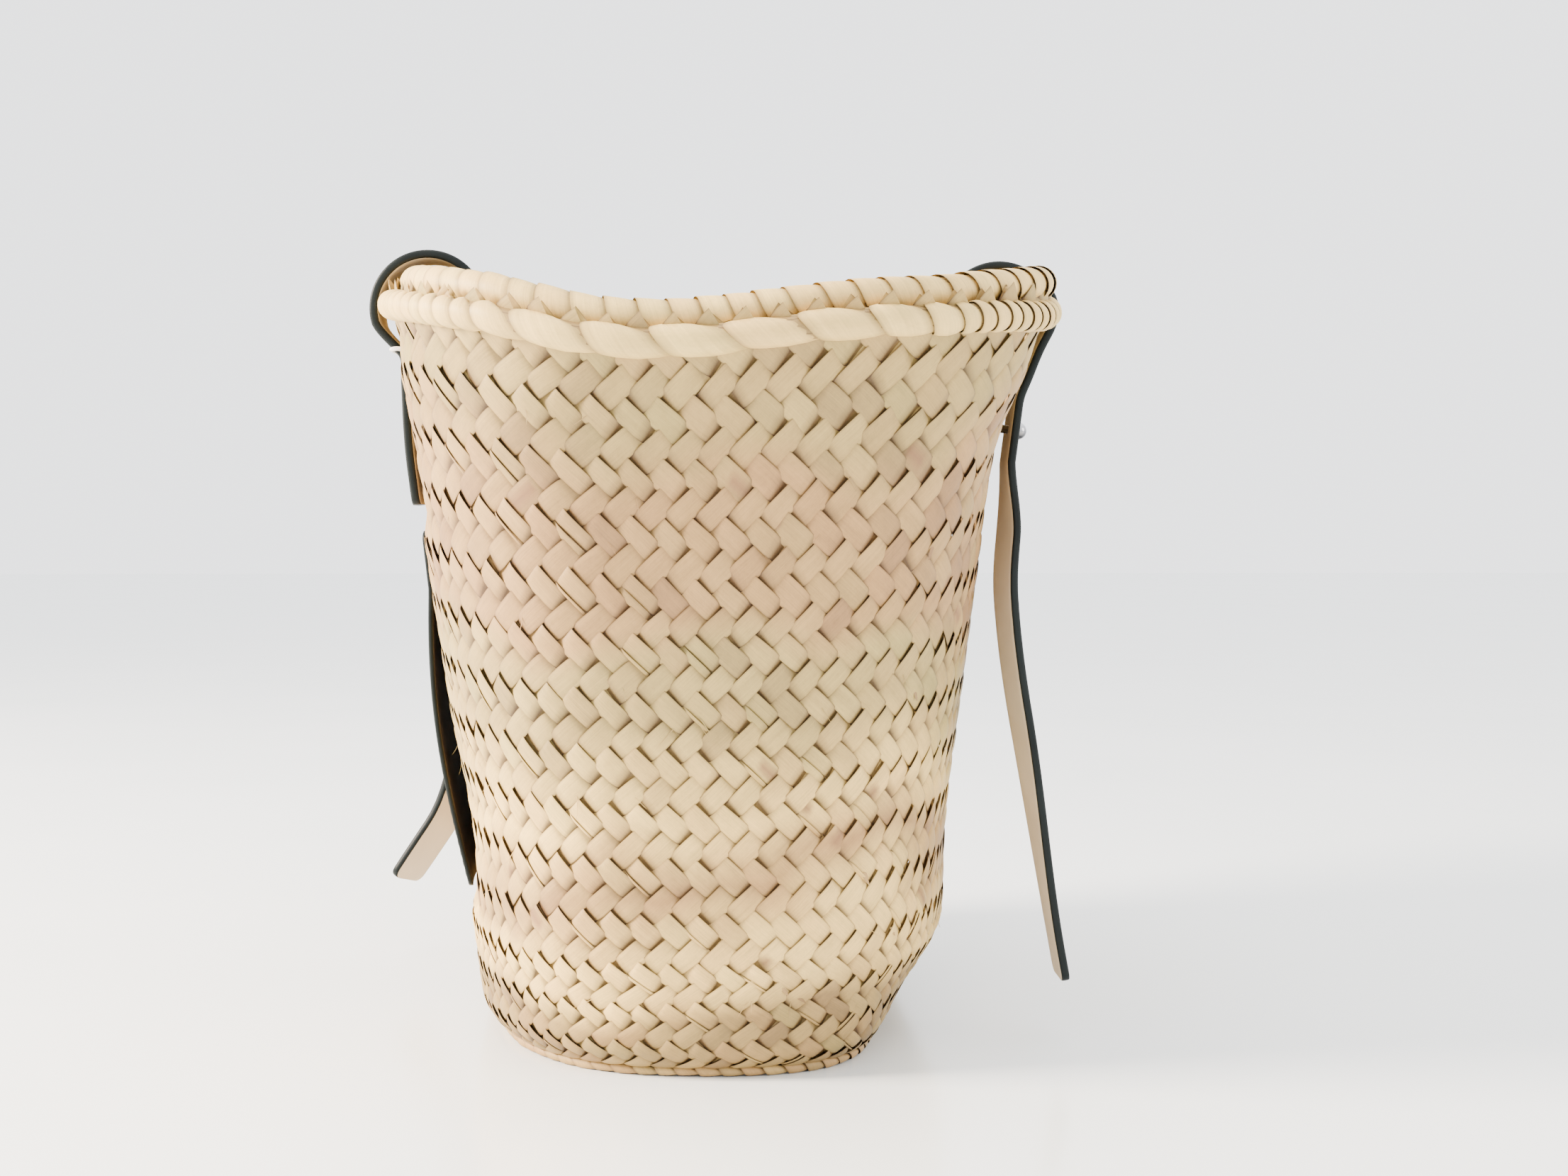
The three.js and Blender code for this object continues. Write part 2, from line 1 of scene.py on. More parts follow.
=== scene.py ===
# %% [markdown]
# # A plaited palm basket with leather straps
#
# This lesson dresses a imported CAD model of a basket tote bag. The CAD model gives every size and every
# hinge, and Blender adds what a hand would feel: plaited palm leaf, wrapped rim rolls, leather, thread.
# Everything is in metres, +Z is up, and the face with the leather patch looks along -Y.

# %% Load the frame
import math

import bmesh
import bpy
import numpy as np
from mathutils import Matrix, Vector


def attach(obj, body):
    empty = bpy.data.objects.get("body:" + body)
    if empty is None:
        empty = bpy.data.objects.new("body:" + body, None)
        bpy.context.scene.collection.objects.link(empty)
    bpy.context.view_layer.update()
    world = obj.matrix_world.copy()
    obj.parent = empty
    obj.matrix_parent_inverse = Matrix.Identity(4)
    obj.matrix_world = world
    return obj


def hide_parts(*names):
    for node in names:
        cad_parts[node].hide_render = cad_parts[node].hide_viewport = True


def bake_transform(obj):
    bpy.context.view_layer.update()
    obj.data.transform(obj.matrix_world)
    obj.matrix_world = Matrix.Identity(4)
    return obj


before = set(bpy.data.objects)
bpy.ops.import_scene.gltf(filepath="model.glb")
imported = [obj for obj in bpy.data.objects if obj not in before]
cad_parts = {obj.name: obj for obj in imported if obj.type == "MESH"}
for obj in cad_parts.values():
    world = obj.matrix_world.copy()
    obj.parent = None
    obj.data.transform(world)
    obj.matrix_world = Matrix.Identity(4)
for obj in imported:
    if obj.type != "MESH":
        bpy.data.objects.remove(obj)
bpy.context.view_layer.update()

# %% [markdown]
# ## Shader sums in plain Python
#
# A finish is easier to read as a sum than as a picture of boxes and wires. `Wire` holds one output socket
# and answers to +, -, * and **, so `mask * 2` adds the Math node by itself. `Finish.node` makes every other
# node: its settings are set first, because some of them decide which sockets the node has.

# %% Wires and finishes
MM = 0.001


def plug(tree, socket, value):
    if isinstance(value, Wire):
        tree.links.new(value.socket, socket)
    else:
        socket.default_value = value


class Wire:
    """An output socket that can stand in a sum."""

    def __init__(self, socket):
        self.socket = socket

    def sum_with(self, operation, *terms):
        tree = self.socket.id_data
        node = tree.nodes.new("ShaderNodeMath")
        node.operation = operation
        for socket, term in zip(node.inputs, terms):
            plug(tree, socket, term)
        return Wire(node.outputs[0])

    def __add__(self, other):
        return self.sum_with("ADD", self, other)

    def __sub__(self, other):
        return self.sum_with("SUBTRACT", self, other)

    def __mul__(self, other):
        return self.sum_with("MULTIPLY", self, other)

    def __pow__(self, other):
        return self.sum_with("POWER", self, other)

    def clipped(self):
        return self.sum_with("MAXIMUM", self.sum_with("MINIMUM", self, 1.0), 0.0)


class Finish:
    """One material. Its nodes are added by node(), and surface() fills in the shader."""

    def __init__(self, name):
        self.material = bpy.data.materials.new(name)
        self.material.use_nodes = True
        self.tree = self.material.node_tree
        self.shader = self.tree.nodes["Principled BSDF"]

    def node(self, kind, settings, sockets, output=0):
        node = self.tree.nodes.new("ShaderNode" + kind)
        for key, value in settings.items():
            if key == "stops":
                ramp = node.color_ramp.elements
                while len(ramp) < len(value):
                    ramp.new(1.0)
                for stop, (place, colour) in zip(ramp, value):
                    stop.position = place
                    stop.color = (*colour, 1.0)
            else:
                setattr(node, key, value)
        for key, value in sockets.items():
            plug(self.tree, node.inputs[key], value)
        return Wire(node.outputs[output])

    def value(self, name):
        return self.node("Attribute", {"attribute_name": name}, {}, "Fac")

    def vector(self, x, y, z):
        return self.node("CombineXYZ", {}, {0: x, 1: y, 2: z})

    def noise(self, vector, scale=1.0, detail=2.0, rough=0.5):
        sockets = {"Vector": vector, "Scale": scale, "Detail": detail, "Roughness": rough}
        return self.node("TexNoise", {}, sockets)

    def ramp(self, factor, *stops):
        return self.node("ValToRGB", {"stops": stops}, {0: factor})

    def mixed(self, factor, first, second, blend="MIX"):
        settings = {"data_type": "RGBA", "blend_type": blend}
        return self.node("Mix", settings, {0: factor, 6: first, 7: second}, 2)

    def bump(self, height, distance):
        return self.node("Bump", {}, {"Height": height, "Distance": distance})

    def surface(self, **sockets):
        for key, value in sockets.items():
            plug(self.tree, self.shader.inputs[key.replace("_", " ")], value)
        return self.material


print("sums and nodes are ready")

# %% [markdown]
# ## Meshes from grids
#
# Almost everything on this bag is a strip: a palm strand, a turn of ribbon, a strap. A strip is a grid of
# points, so one function turns grids into quads. It could also be done with curves and bevels, but a grid
# lets each point carry numbers (how far along, how far across) that the finishes read later.

# %% Grid meshes
ALONG_BAG, TO_BACK, UP = np.eye(3)
chance = np.random.default_rng(20)


def put_in(name, data):
    """An object in the scene that shows a mesh, a lamp or a camera."""
    thing = bpy.data.objects.new(name, data)
    bpy.context.scene.collection.objects.link(thing)
    return thing


def strip_mesh(name, points, numbers, finishes, around=False, finish_of=None, keep=None):
    """Quads from points shaped (strips, rows, columns, 3), with one number per point for each name."""
    strips, rows, columns = points.shape[:3]
    index = np.arange(strips * rows * columns).reshape(strips, rows, columns)
    if around:
        index = np.concatenate([index, index[:, :, :1]], axis=2)
    corners = [index[:, :-1, :-1], index[:, :-1, 1:], index[:, 1:, 1:], index[:, 1:, :-1]]
    quads = np.stack(corners, axis=-1)
    column = np.broadcast_to(np.arange(quads.shape[2]), quads.shape[:3]).reshape(-1)
    quads, used = quads.reshape(-1, 4), np.arange(strips * rows * columns)
    if keep is not None:
        inside = keep.reshape(-1)[quads].all(axis=1)
        used, quads = np.unique(quads[inside], return_inverse=True)
        quads, column = quads.reshape(-1, 4), column[inside]
    mesh = bpy.data.meshes.new(name)
    mesh.from_pydata(points.reshape(-1, 3)[used].tolist(), [], quads.tolist())
    for finish in finishes:
        mesh.materials.append(finish)
    if finish_of is not None:
        mesh.polygons.foreach_set("material_index", np.asarray(finish_of)[column])
    for key, value in numbers.items():
        spread = np.broadcast_to(value, points.shape[:3]).astype(np.float32).reshape(-1)[used]
        mesh.attributes.new(key, "FLOAT", "POINT").data.foreach_set("value", spread)
    mesh.shade_smooth()
    return put_in(name, mesh)


def unit(vectors):
    return vectors / np.linalg.norm(vectors, axis=-1, keepdims=True)


def blend_in(value, low, high):
    """A smooth step from 0 at low to 1 at high, which may lie either way round."""
    share = np.clip((value - low) / (high - low), 0, 1)
    return share * share * (3 - 2 * share)


def run_of(line):
    """Length along a line from its start to each of its points."""
    return np.concatenate([[0], np.cumsum(np.linalg.norm(np.diff(line, axis=0), axis=1))])


def hump(value, middle, width):
    """1 at the middle, falling smoothly to nearly nothing two widths away."""
    return np.exp(-(((value - middle) / width) ** 2))


def on_basket(piece, slot, *nodes):
    """Let a piece ride on the basket and hide the CAD nodes that it stands for. The slot is not used."""
    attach(piece, "basket")
    if nodes:
        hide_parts(*nodes)


print("grid meshes are ready")

# %% [markdown]
# ## Camera, floor and light
#
# The bag is seen from its narrow end at about two thirds of its height, with a normal lens. The camera
# looks very slightly right and down, which puts the bag left of the middle. A pale floor and a bright
# even sky give the high-key light. A strong lamp on the left makes that side the brighter one, and two weak
# ones keep the right side and the rim from going grey.

# %% Camera
# In pixels of the picture: its width, the lens's length, and how far the camera looks right and down
PICTURE_WIDTH, LENS_LENGTH, LOOK_RIGHT, LOOK_DOWN = 2212, 2818, 106, 90.5
SENSOR_WIDTH = 36
camera = put_in("camera", bpy.data.cameras.new("camera"))
camera.data.sensor_width = SENSOR_WIDTH
camera.data.lens = SENSOR_WIDTH * (LENS_LENGTH / PICTURE_WIDTH)
camera.location = (0.940, 0.0, 0.222)
looking = Vector((-1.0, LOOK_RIGHT / LENS_LENGTH, -LOOK_DOWN / LENS_LENGTH))
camera.rotation_euler = looking.to_track_quat("-Z", "Y").to_euler()
bpy.context.scene.camera = camera
print("lens", round(camera.data.lens, 2), "mm")

# %% Floor
pale = Finish("pale_floor")
floor_place = pale.node("TexCoord", {}, {}, "Object")
floor_mottle = pale.noise(floor_place, 3.0, 3.0)
floor_colour = pale.ramp(floor_mottle, (0.3, (0.80, 0.83, 0.82)), (0.7, (0.84, 0.86, 0.86)))
pale.surface(Base_Color=floor_colour, Roughness=floor_mottle * 0.08 + 0.16)
FLOOR_REACH = 8.0
floor_mesh = bpy.data.meshes.new("floor")
floor_corners = [(FLOOR_REACH * x, FLOOR_REACH * y, 0) for x, y in ((-1, -1), (1, -1), (1, 1), (-1, 1))]
floor_mesh.from_pydata(floor_corners, [], [(0, 1, 2, 3)])
floor_mesh.materials.append(pale.material)
floor = put_in("floor", floor_mesh)
print("floor:", 2 * FLOOR_REACH, "m wide")

# %% Light
def soft_lamp(name, place, target, width, power, colour):
    lamp = bpy.data.lights.new(name, "AREA")
    lamp.shape = "DISK"
    lamp.size = width
    lamp.energy = power
    lamp.color = colour
    stand = put_in(name, lamp)
    stand.location = place
    stand.rotation_euler = (Vector(target) - Vector(place)).to_track_quat("-Z", "Y").to_euler()


sky = bpy.data.worlds.new("bright_room")
sky.use_nodes = True
sky_sockets = sky.node_tree.nodes["Background"].inputs
sky_sockets["Color"].default_value = (0.93, 0.94, 0.96, 1)
sky_sockets["Strength"].default_value = 2.85
bpy.context.scene.world = sky
soft_lamp("left_window", (0.35, -2.0, 1.05), (0, 0, 0.15), 0.7, 330, (1.0, 0.85, 0.70))
soft_lamp("right_wall", (0.7, 1.9, 0.7), (0, 0, 0.15), 1.2, 22, (1.0, 0.93, 0.86))
soft_lamp("ceiling", (0.2, -0.2, 2.2), (0, 0, 0.1), 1.2, 24, (1.0, 0.90, 0.78))
print("lamps:", len(bpy.data.lights))

# %% [markdown]
# ## The basket's surface
#
# The wall is one smooth surface: a squarish oval that grows from foot to rim, with a rounded foot and a
# rim that climbs along the long faces. These are the CAD model's own sizes. The functions take counts that
# a plaiter would use, strands round the basket and rows up it, and give back points in space. A soft basket
# is never even, so `by_hand` then moves the points by what carrying and standing did to this one.

# %% Sizes of the basket
FOOT_HALF_LENGTH, FOOT_HALF_WIDTH, FOOT_RADIUS = 0.154, 0.105, 0.018
RIM_HALF_LENGTH, RIM_HALF_WIDTH = 0.226, 0.132
WALL_HEIGHT, RIM_RISE, WALL_THICKNESS = 0.290, 0.030, 0.005
WALL_FLARE, FOOT_SQUARENESS, RIM_SQUARENESS = 1.4, 2.4, 3.5
MID_RADIUS = FOOT_RADIUS - WALL_THICKNESS / 2
STRANDS, ROWS, FOOT_ROWS = 80, 29, 7
FOOT_ROW = 0.0076
FOOT_ARC = MID_RADIUS * math.pi / 2
WALL_RUN = FOOT_ARC + WALL_HEIGHT - FOOT_RADIUS
WALL_ROW = FOOT_ROW + (WALL_RUN - ROWS * FOOT_ROW) / (ROWS - FOOT_ROWS)
FRONT_LEAN, LIP_LEAN, FRONT_SWELL = 4.0 * MM, 2.5 * MM, 4.0 * MM
FRONT_BELLY, BACK_BELLY, FOOT_TUCK = 4.5 * MM, 3.2 * MM, 0.018
CORNER_PUSH, END_DIP, END_SPREAD, LIP_SPREAD = 5.0 * MM, 2.6 * MM, 6.0 * MM, 3.0 * MM
print("rows are", round(FOOT_ROW / MM, 1), "mm high at the foot and", round(WALL_ROW / MM, 1), "mm above")

# %% The oval
def climb_at(level):
    return np.maximum((level - FOOT_RADIUS) / (WALL_HEIGHT - FOOT_RADIUS), 0)


def squareness(level):
    return FOOT_SQUARENESS + (RIM_SQUARENESS - FOOT_SQUARENESS) * np.minimum(climb_at(level), 1)


def half_sizes(level, inset):
    flare = climb_at(level) ** WALL_FLARE
    length = FOOT_HALF_LENGTH + (RIM_HALF_LENGTH - FOOT_HALF_LENGTH) * flare - inset
    width = FOOT_HALF_WIDTH + (RIM_HALF_WIDTH - FOOT_HALF_WIDTH) * flare - inset
    return length, width


def plan(angle, level, inset):
    """The oval at a level: nearly an ellipse at the foot, with fuller corners towards the rim."""
    length, width = half_sizes(level, inset)
    power = squareness(level)
    across, deep = np.cos(angle), np.sin(angle)
    reach = (np.abs(across) ** power + np.abs(deep) ** power) ** (-1 / power)
    return length * across * reach, width * deep * reach


# Equal steps of length round the oval, as a table from share of the way round to angle
angle_table = np.linspace(0, 2 * np.pi, 1441)
girth_x, girth_y = plan(angle_table, WALL_HEIGHT * 0.6, 0.0)
share_table = np.concatenate([[0], np.cumsum(np.hypot(np.diff(girth_x), np.diff(girth_y)))])
GIRTH = share_table[-1]
share_table = share_table / GIRTH
print("girth at six tenths of the height:", round(GIRTH, 3), "m")


# %% Rows up the wall, and what hands did
def rows_up(row):
    """Length up the wall from the base's edge to a row: the lowest rows are packed closer."""
    return FOOT_ROW * row + (WALL_ROW - FOOT_ROW) * np.logaddexp(0, 2 * (row - FOOT_ROWS)) / 2


def lean_in(y, z):
    """How far the front's upper edge leans in over the bag."""
    lean = FRONT_LEAN * blend_in(z, 0.245, 0.31) + LIP_LEAN * blend_in(z, 0.28, 0.312)
    return lean * blend_in(y, 0.0, -0.08)


def front_swell(x, z):
    """How far the front stands out behind the patch and beside the tied strap."""
    below, beside = blend_in(x, -0.075, -0.03), blend_in(x, 0.105, 0.131)
    width = below + (beside - below) * blend_in(z, 0.215, 0.230)
    return FRONT_SWELL * blend_in(z, 0.08, 0.15) * blend_in(z, 0.30, 0.26) * width


def by_hand(x, y, z):
    """What use did to the even shape: waves, bellies, the back of the foot tucked in, a rim corner out."""
    angle = np.arctan2(y * 1.5, x)
    wave = 0.9 * np.sin(3 * angle + 1.3 + 14 * z) + 0.7 * np.sin(5 * angle - 0.4 - 23 * z)
    wave = wave * blend_in(z, 0.28, 0.20) * MM
    tuck = blend_in(angle, 0.5, 1.1) * blend_in(angle, 2.5, 1.5) * blend_in(z, 0.050, 0.004)
    past_patch = np.maximum(blend_in(z, 0.061, 0.050), blend_in(np.abs(x), 0.064, 0.09))
    belly = FRONT_BELLY * hump(z, 0.052, 0.04) * past_patch
    belly = (belly + front_swell(x, z)) * blend_in(y, -0.01, -0.07)
    belly += BACK_BELLY * hump(z, 0.050, 0.03) * blend_in(y, 0.01, 0.07)
    reach = np.hypot(x, y)
    push = (wave - FOOT_TUCK * tuck * blend_in(reach, 0.0, 0.12) + belly) / np.maximum(reach, 0.02)
    corner = CORNER_PUSH * hump(x, 0.155, 0.034) * blend_in(y, 0.03, 0.10) * blend_in(z, 0.20, 0.29)
    dip = END_DIP * np.sin(np.pi * np.clip(y / 0.085, -1, 1)) * blend_in(x, 0.14, 0.21)
    dip = dip * blend_in(z, 0.20, 0.30)
    return np.stack([x * (1 + push), y * (1 + push) + corner + lean_in(y, z), z + dip], axis=-1)


def wall_place(units, row, out):
    """A point of the wall: strands round it, rows up it, and metres out from the middle of its thickness."""
    run = rows_up(row)
    turn = np.clip(run / MID_RADIUS, 0, np.pi / 2)
    level = FOOT_RADIUS + np.maximum(run - FOOT_ARC, 0)
    climb = climb_at(level)
    share = units / STRANDS
    share = share - 0.18 * climb * np.sin(4 * np.pi * share) / (4 * np.pi)
    angle = np.interp(share % 1.0, share_table, angle_table)
    inset = FOOT_RADIUS - (MID_RADIUS + out) * np.sin(turn) - np.minimum(run, 0)
    spread = END_SPREAD * blend_in(level, 0.235, 0.275) + LIP_SPREAD * blend_in(level, 0.272, 0.288)
    spread = spread * blend_in(np.abs(plan(angle, level, inset)[0]), 0.105, 0.135)
    x, y = plan(angle, level, inset - spread)
    z = level - (MID_RADIUS + out) * np.cos(turn) + RIM_RISE * climb * np.sin(angle) ** 2
    return by_hand(x, y, z)


print("rim at the near end:", np.round(wall_place(0.0, ROWS, 0.0), 3).tolist(), "m")

# %% [markdown]
# ## Palm leaf
#
# A dried palm strand is satin, with fine fibres along it. Its colour drifts from straw to pink beige to a
# greyish green, from strand to strand and in bands up the basket, because each band was plaited from its
# own bundle of leaves; only the darker lowest band is painted shade on the foot. The dark brown lines
# between strands are painted shade, darkest where a strand dives under another and along its long edges.
# Pictures of palm could be wrapped on, but noise stretched along each strand stays sharp at any distance.

# %% Palm finish
LEAF_SHARE, FIBRE_DEPTH = 0.42, 0.00012
LEAF_TONES = [(0.0, (0.34, 0.215, 0.073)), (0.25, (0.45, 0.31, 0.11)), (0.45, (0.34, 0.19, 0.072)),
              (0.65, (0.32, 0.195, 0.072)), (0.80, (0.30, 0.23, 0.076)), (0.93, (0.20, 0.115, 0.052)),
              (1.0, (0.16, 0.088, 0.042))]
# STAIN is the colour of real brown marks; the second colour is the dark brown of painted shade between
# strands.
STAIN, CHINK_SHADE = (0.20, 0.095, 0.042, 1), (0.045, 0.020, 0.008, 1)


def palm_finish(name, bands):
    palm = Finish(name)
    tone, across, along, tuck = (palm.value(k) for k in ("tone", "across", "along", "tuck"))
    fibres = palm.noise(palm.vector(across * 9 + tone * 61, along * 38, tone * 17), 1.0, 4.0, 0.65)
    clouds = palm.noise(palm.vector(across * 0.8 + tone * 23, along * 45, tone * 41), 1.0, 2.0)
    spots = palm.noise(palm.vector(across * 2.5 + tone * 11, along * 420, tone * 5), 1.0, 3.0, 0.7)
    drift = palm.noise(palm.node("TexCoord", {}, {}, "Object"), 9.0, 2.0)
    band = palm.ramp((palm.value("height") + (drift - 0.5) * 0.34).clipped(), *bands)
    colour = palm.mixed(LEAF_SHARE, band, palm.ramp(tone, *LEAF_TONES))
    light = (fibres - 0.5) * 0.60 + (clouds - 0.5) * 0.46 + (spots - 0.5) * 0.34 + 1.0
    colour = palm.mixed(1.0, colour, palm.vector(light, light, light), "MULTIPLY")
    stain = ((spots - 0.60) * 5).clipped() * 0.25 + palm.value("scar") * 0.8
    colour = palm.mixed(stain.clipped(), colour, STAIN)
    # Painted shade: the colour goes dark brown where a strand dives under another (tuck) and along its long
    # edges.
    edge = (across * across) ** 8
    shade = (tuck * 0.95 + edge * 0.70).clipped()
    colour = palm.mixed(shade * 0.95, colour, CHINK_SHADE)
    return palm.surface(Base_Color=colour, Roughness=(fibres - 0.5) * 0.3 + 0.56,
                        Normal=palm.bump(fibres, FIBRE_DEPTH), Specular_IOR_Level=0.35)


STRAW, PINK, GREEN = (0.90, 0.61, 0.19), (0.345, 0.19, 0.066), (0.36, 0.27, 0.085)
# The two lowest stops make the foot rows darker: painted shade where the foot turns under.
wall_palm = palm_finish("wall_palm", [
    (0.00, (0.18, 0.118, 0.032)), (0.19, (0.225, 0.146, 0.041)), (0.24, STRAW), (0.28, STRAW), (0.33, PINK),
    (0.40, STRAW), (0.50, GREEN), (0.58, GREEN), (0.64, PINK), (0.82, PINK), (0.90, (0.31, 0.225, 0.068)),
    (1.00, (0.37, 0.265, 0.082))])
rim_palm = palm_finish("rim_palm", [(at, (0.88, 0.62, 0.205)) for at in (0.0, 1.0)])
foot_palm = palm_finish("foot_palm", [(at, (0.32, 0.195, 0.062)) for at in (0.0, 1.0)])
print("palm finishes:", wall_palm.name, rim_palm.name, foot_palm.name)

# %% [markdown]
# ## Plaiting the wall
#
# The wall is a two-over, two-under plait. One set of strands leans right as it climbs, the other left. A
# strand passes over two of the others, then under two, so its floats lie in level rows that lean one way
# and then the other. A flat sheet with a weave painted on would lose the shadows, so every strand is a
# real strip that rises and dives. The upper long edge of each float stands proud, and its lower end dives
# under the raised edges of the row below, which is where the dark chinks are: real shadow, deepened by
# painted shade.

# %% Strands
SPLIT_SHARE, FLOAT_DOME = 0.07, 0.4 * MM


def some_strands(count, fullness):
    """Random strands, as wide as fullness times their spacing. A split one is two strips side by side."""
    strands = []
    for start in range(count):
        half = fullness / 2 * chance.uniform(0.95, 1.08)
        slip = chance.normal(0, 0.035)
        tone, tilt, beat = chance.uniform(), chance.normal(0.36, 0.14) * MM, chance.uniform(0, 6.28)
        if chance.uniform() < SPLIT_SHARE:
            part = chance.uniform(0.14, 0.4)
            strands.append((start, half * part, slip - half * (1 - part), tone, tilt, beat, 0.0))
            near = (tone + chance.normal(0, 0.06)) % 1
            strands.append((start, half * (1 - part), slip + half * part, near, tilt, beat + 0.4, 0.2 * MM))
        else:
            strands.append((start, half, slip, tone, tilt, beat, 0.0))
    return np.array(strands).T[:, :, None, None]


def lay_strands(place, pitch, row_height, strands, lean, steps, wave):
    """Strips for one set of strands at the given counts of crossings: points, over and five numbers more."""
    start, half, slip, tone, tilt, beat, lift = strands
    count = steps[None, :, None]
    side = np.array([-1, -0.84, -0.45, 0, 0.45, 0.84, 1])[None, None, :]
    row = count / 2
    p, q = pitch(row), row_height(row)
    slant = np.hypot(p, q)
    crest = 2.5 if lean > 0 else 0.5
    from_crest = np.arcsin(np.sin((count - crest) * np.pi / 2)) * 2 / np.pi
    low_end = blend_in(-from_crest, -0.2, 1.0)
    swing = np.cos((count - 0.08 * low_end - crest + 0.10 * np.sin(1.7 * count + 3 * beat)) * np.pi / 2)
    over = np.tanh(3 * swing) / np.tanh(3) + 0 * side
    wander = slip + 0.04 * np.sin(0.47 * count + beat)
    narrowed = 1 + 0.05 * np.sin(0.83 * count + 2 * beat) - (0.02 + 0.10 * low_end) * (1 - over**2)
    # Painted shade where the strand dives under its neighbours, broadest and darkest at a float's lower end.
    tuck = (1 - over**2) ** (1.6 - 0.8 * low_end) * (0.35 + 0.65 * low_end)
    reach = (wander + side * half * narrowed) * p * q / slant
    units = start + lean * row + reach * q / slant / p
    rows = row - lean * reach * p / slant / q
    out = over * (wave + lift - 0.3 * MM * low_end - lean * tilt * side - FLOAT_DOME * side**4)
    along = np.broadcast_to(count * slant / 2, over.shape)
    return place(units, rows, out), over, tone, side, along, rows, tuck


def join_sets(sets):
    """Both sets of strands as one: points, over, tone, side, along, rows and tuck."""
    points = np.concatenate([s[0] for s in sets])
    return points, *(np.concatenate([np.broadcast_to(s[i], s[1].shape) for s in sets]) for i in range(1, 7))


def wall_pitch(row):
    return GIRTH / STRANDS * (0.85 + 0.30 * np.clip(row / ROWS, 0, 1))


def wall_row_height(row):
    return FOOT_ROW + (WALL_ROW - FOOT_ROW) * blend_in(row, FOOT_ROWS - 1, FOOT_ROWS + 1)


print("strands are", round(wall_pitch(0) / MM, 1), "to", round(wall_pitch(ROWS) / MM, 1), "mm apart")

# %% Courses of the wall
WALL_FULLNESS, WALL_WAVE, FLOAT_LENGTH, SCAR_FREE = 1.17, 1.3 * MM, 0.0326, 0.987
right_strands = some_strands(STRANDS, WALL_FULLNESS)
left_strands = some_strands(STRANDS, WALL_FULLNESS)
# The courses part where both sets of strands are between over and under, nearest to the CAD seams
course_cuts = [-0.5, 19.5, 31.5, 45.5, 58.5]


def plait_course(name, low, high):
    turns = np.arange(low, high + 0.01, 2)[:, None] + np.array([0, 0.16, 0.34, 0.65, 1.0, 1.35, 1.66, 1.84])
    steps = turns.ravel()[turns.ravel() <= high + 0.01]
    points, over, tone, side, along, rows, tuck = join_sets([
        lay_strands(wall_place, wall_pitch, wall_row_height, strands, lean, steps, WALL_WAVE)
        for strands, lean in ((right_strands, 1), (left_strands, -1))])
    # One float in eighty or so is scarred, picked by a number that depends only on float and strand
    float_of = np.floor((along / FLOAT_LENGTH) + tone * 97)
    scarred = np.sin(float_of * 12.9898 + tone * 78.233) * 43758.5453 % 1 > SCAR_FREE
    scar = scarred * blend_in(np.abs(side), 1, 0) * (over > 0)
    numbers = {"tone": tone, "across": side, "along": along, "tuck": tuck, "height": rows / ROWS,
               "scar": scar}
    return strip_mesh(name, points, numbers, [wall_palm])


for number in range(1, 5):
    course = plait_course(f"plait_course_{number}", course_cuts[number - 1], course_cuts[number])
    on_basket(course, "palm_plait", f"wall_course_{number}")
    print(course.name, len(course.data.polygons), "faces")

# %% [markdown]
# ## The base
#
# The base is a flat plaited panel, seen from above between the straps. It is the same plait laid on a flat
# plane and cut to the oval. A cord of palm runs round its edge, where the wall's first rows turn up.

# %% Base panel
BASE_PITCH, BASE_ROW, BASE_WAVE = 12.0 * MM, 10.4 * MM, 1.2 * MM
BASE_STRANDS, BASE_ROWS, BASE_FULLNESS = 52, 24, 1.16


def base_place(units, row, out):
    x = (units - BASE_STRANDS / 2) * BASE_PITCH
    y = (row - BASE_ROWS / 2) * BASE_ROW
    return np.stack(np.broadcast_arrays(x, y, WALL_THICKNESS / 2 + out), axis=-1)


base_steps = np.arange(0, 2 * BASE_ROWS + 0.01, 0.25)
base_sets = []
for lean in (1, -1):
    strands = some_strands(BASE_STRANDS + BASE_ROWS, BASE_FULLNESS)
    strands[0] -= BASE_ROWS if lean > 0 else 0
    base_sets.append(lay_strands(base_place, lambda row: BASE_PITCH, lambda row: BASE_ROW, strands, lean,
                                 base_steps, BASE_WAVE))
base_points, over, tone, side, along, *_ = join_sets(base_sets)
edge_length, edge_width = half_sizes(0, FOOT_RADIUS - 1 * MM)
in_oval = (np.abs(base_points[..., 0] / edge_length) ** FOOT_SQUARENESS
           + np.abs(base_points[..., 1] / edge_width) ** FOOT_SQUARENESS) < 1
# The tuck number here is painted shade where a strand dives under another.
base_numbers = {"tone": tone, "across": side, "along": along, "tuck": (1 - over**2) ** 1.5, "height": 0.1,
                "scar": 0.0}
base_points = by_hand(*np.moveaxis(base_points, -1, 0))
base = strip_mesh("plait_base", base_points, base_numbers, [wall_palm], keep=in_oval)
on_basket(base, "palm_plait", "base_panel")
print(base.name, len(base.data.polygons), "faces")

# %% [markdown]
# ## Stray fibres
#
# Plaited leaf is never quite clean. Thin fibres spring loose at the ends of floats, and here and there a
# strand is torn, with a short brown tongue. Each is a narrow strip that starts on the wall and curls off it.

# %% Fibres and torn ends
STRAND_STEP, ROW_STEP = 0.012, 0.011


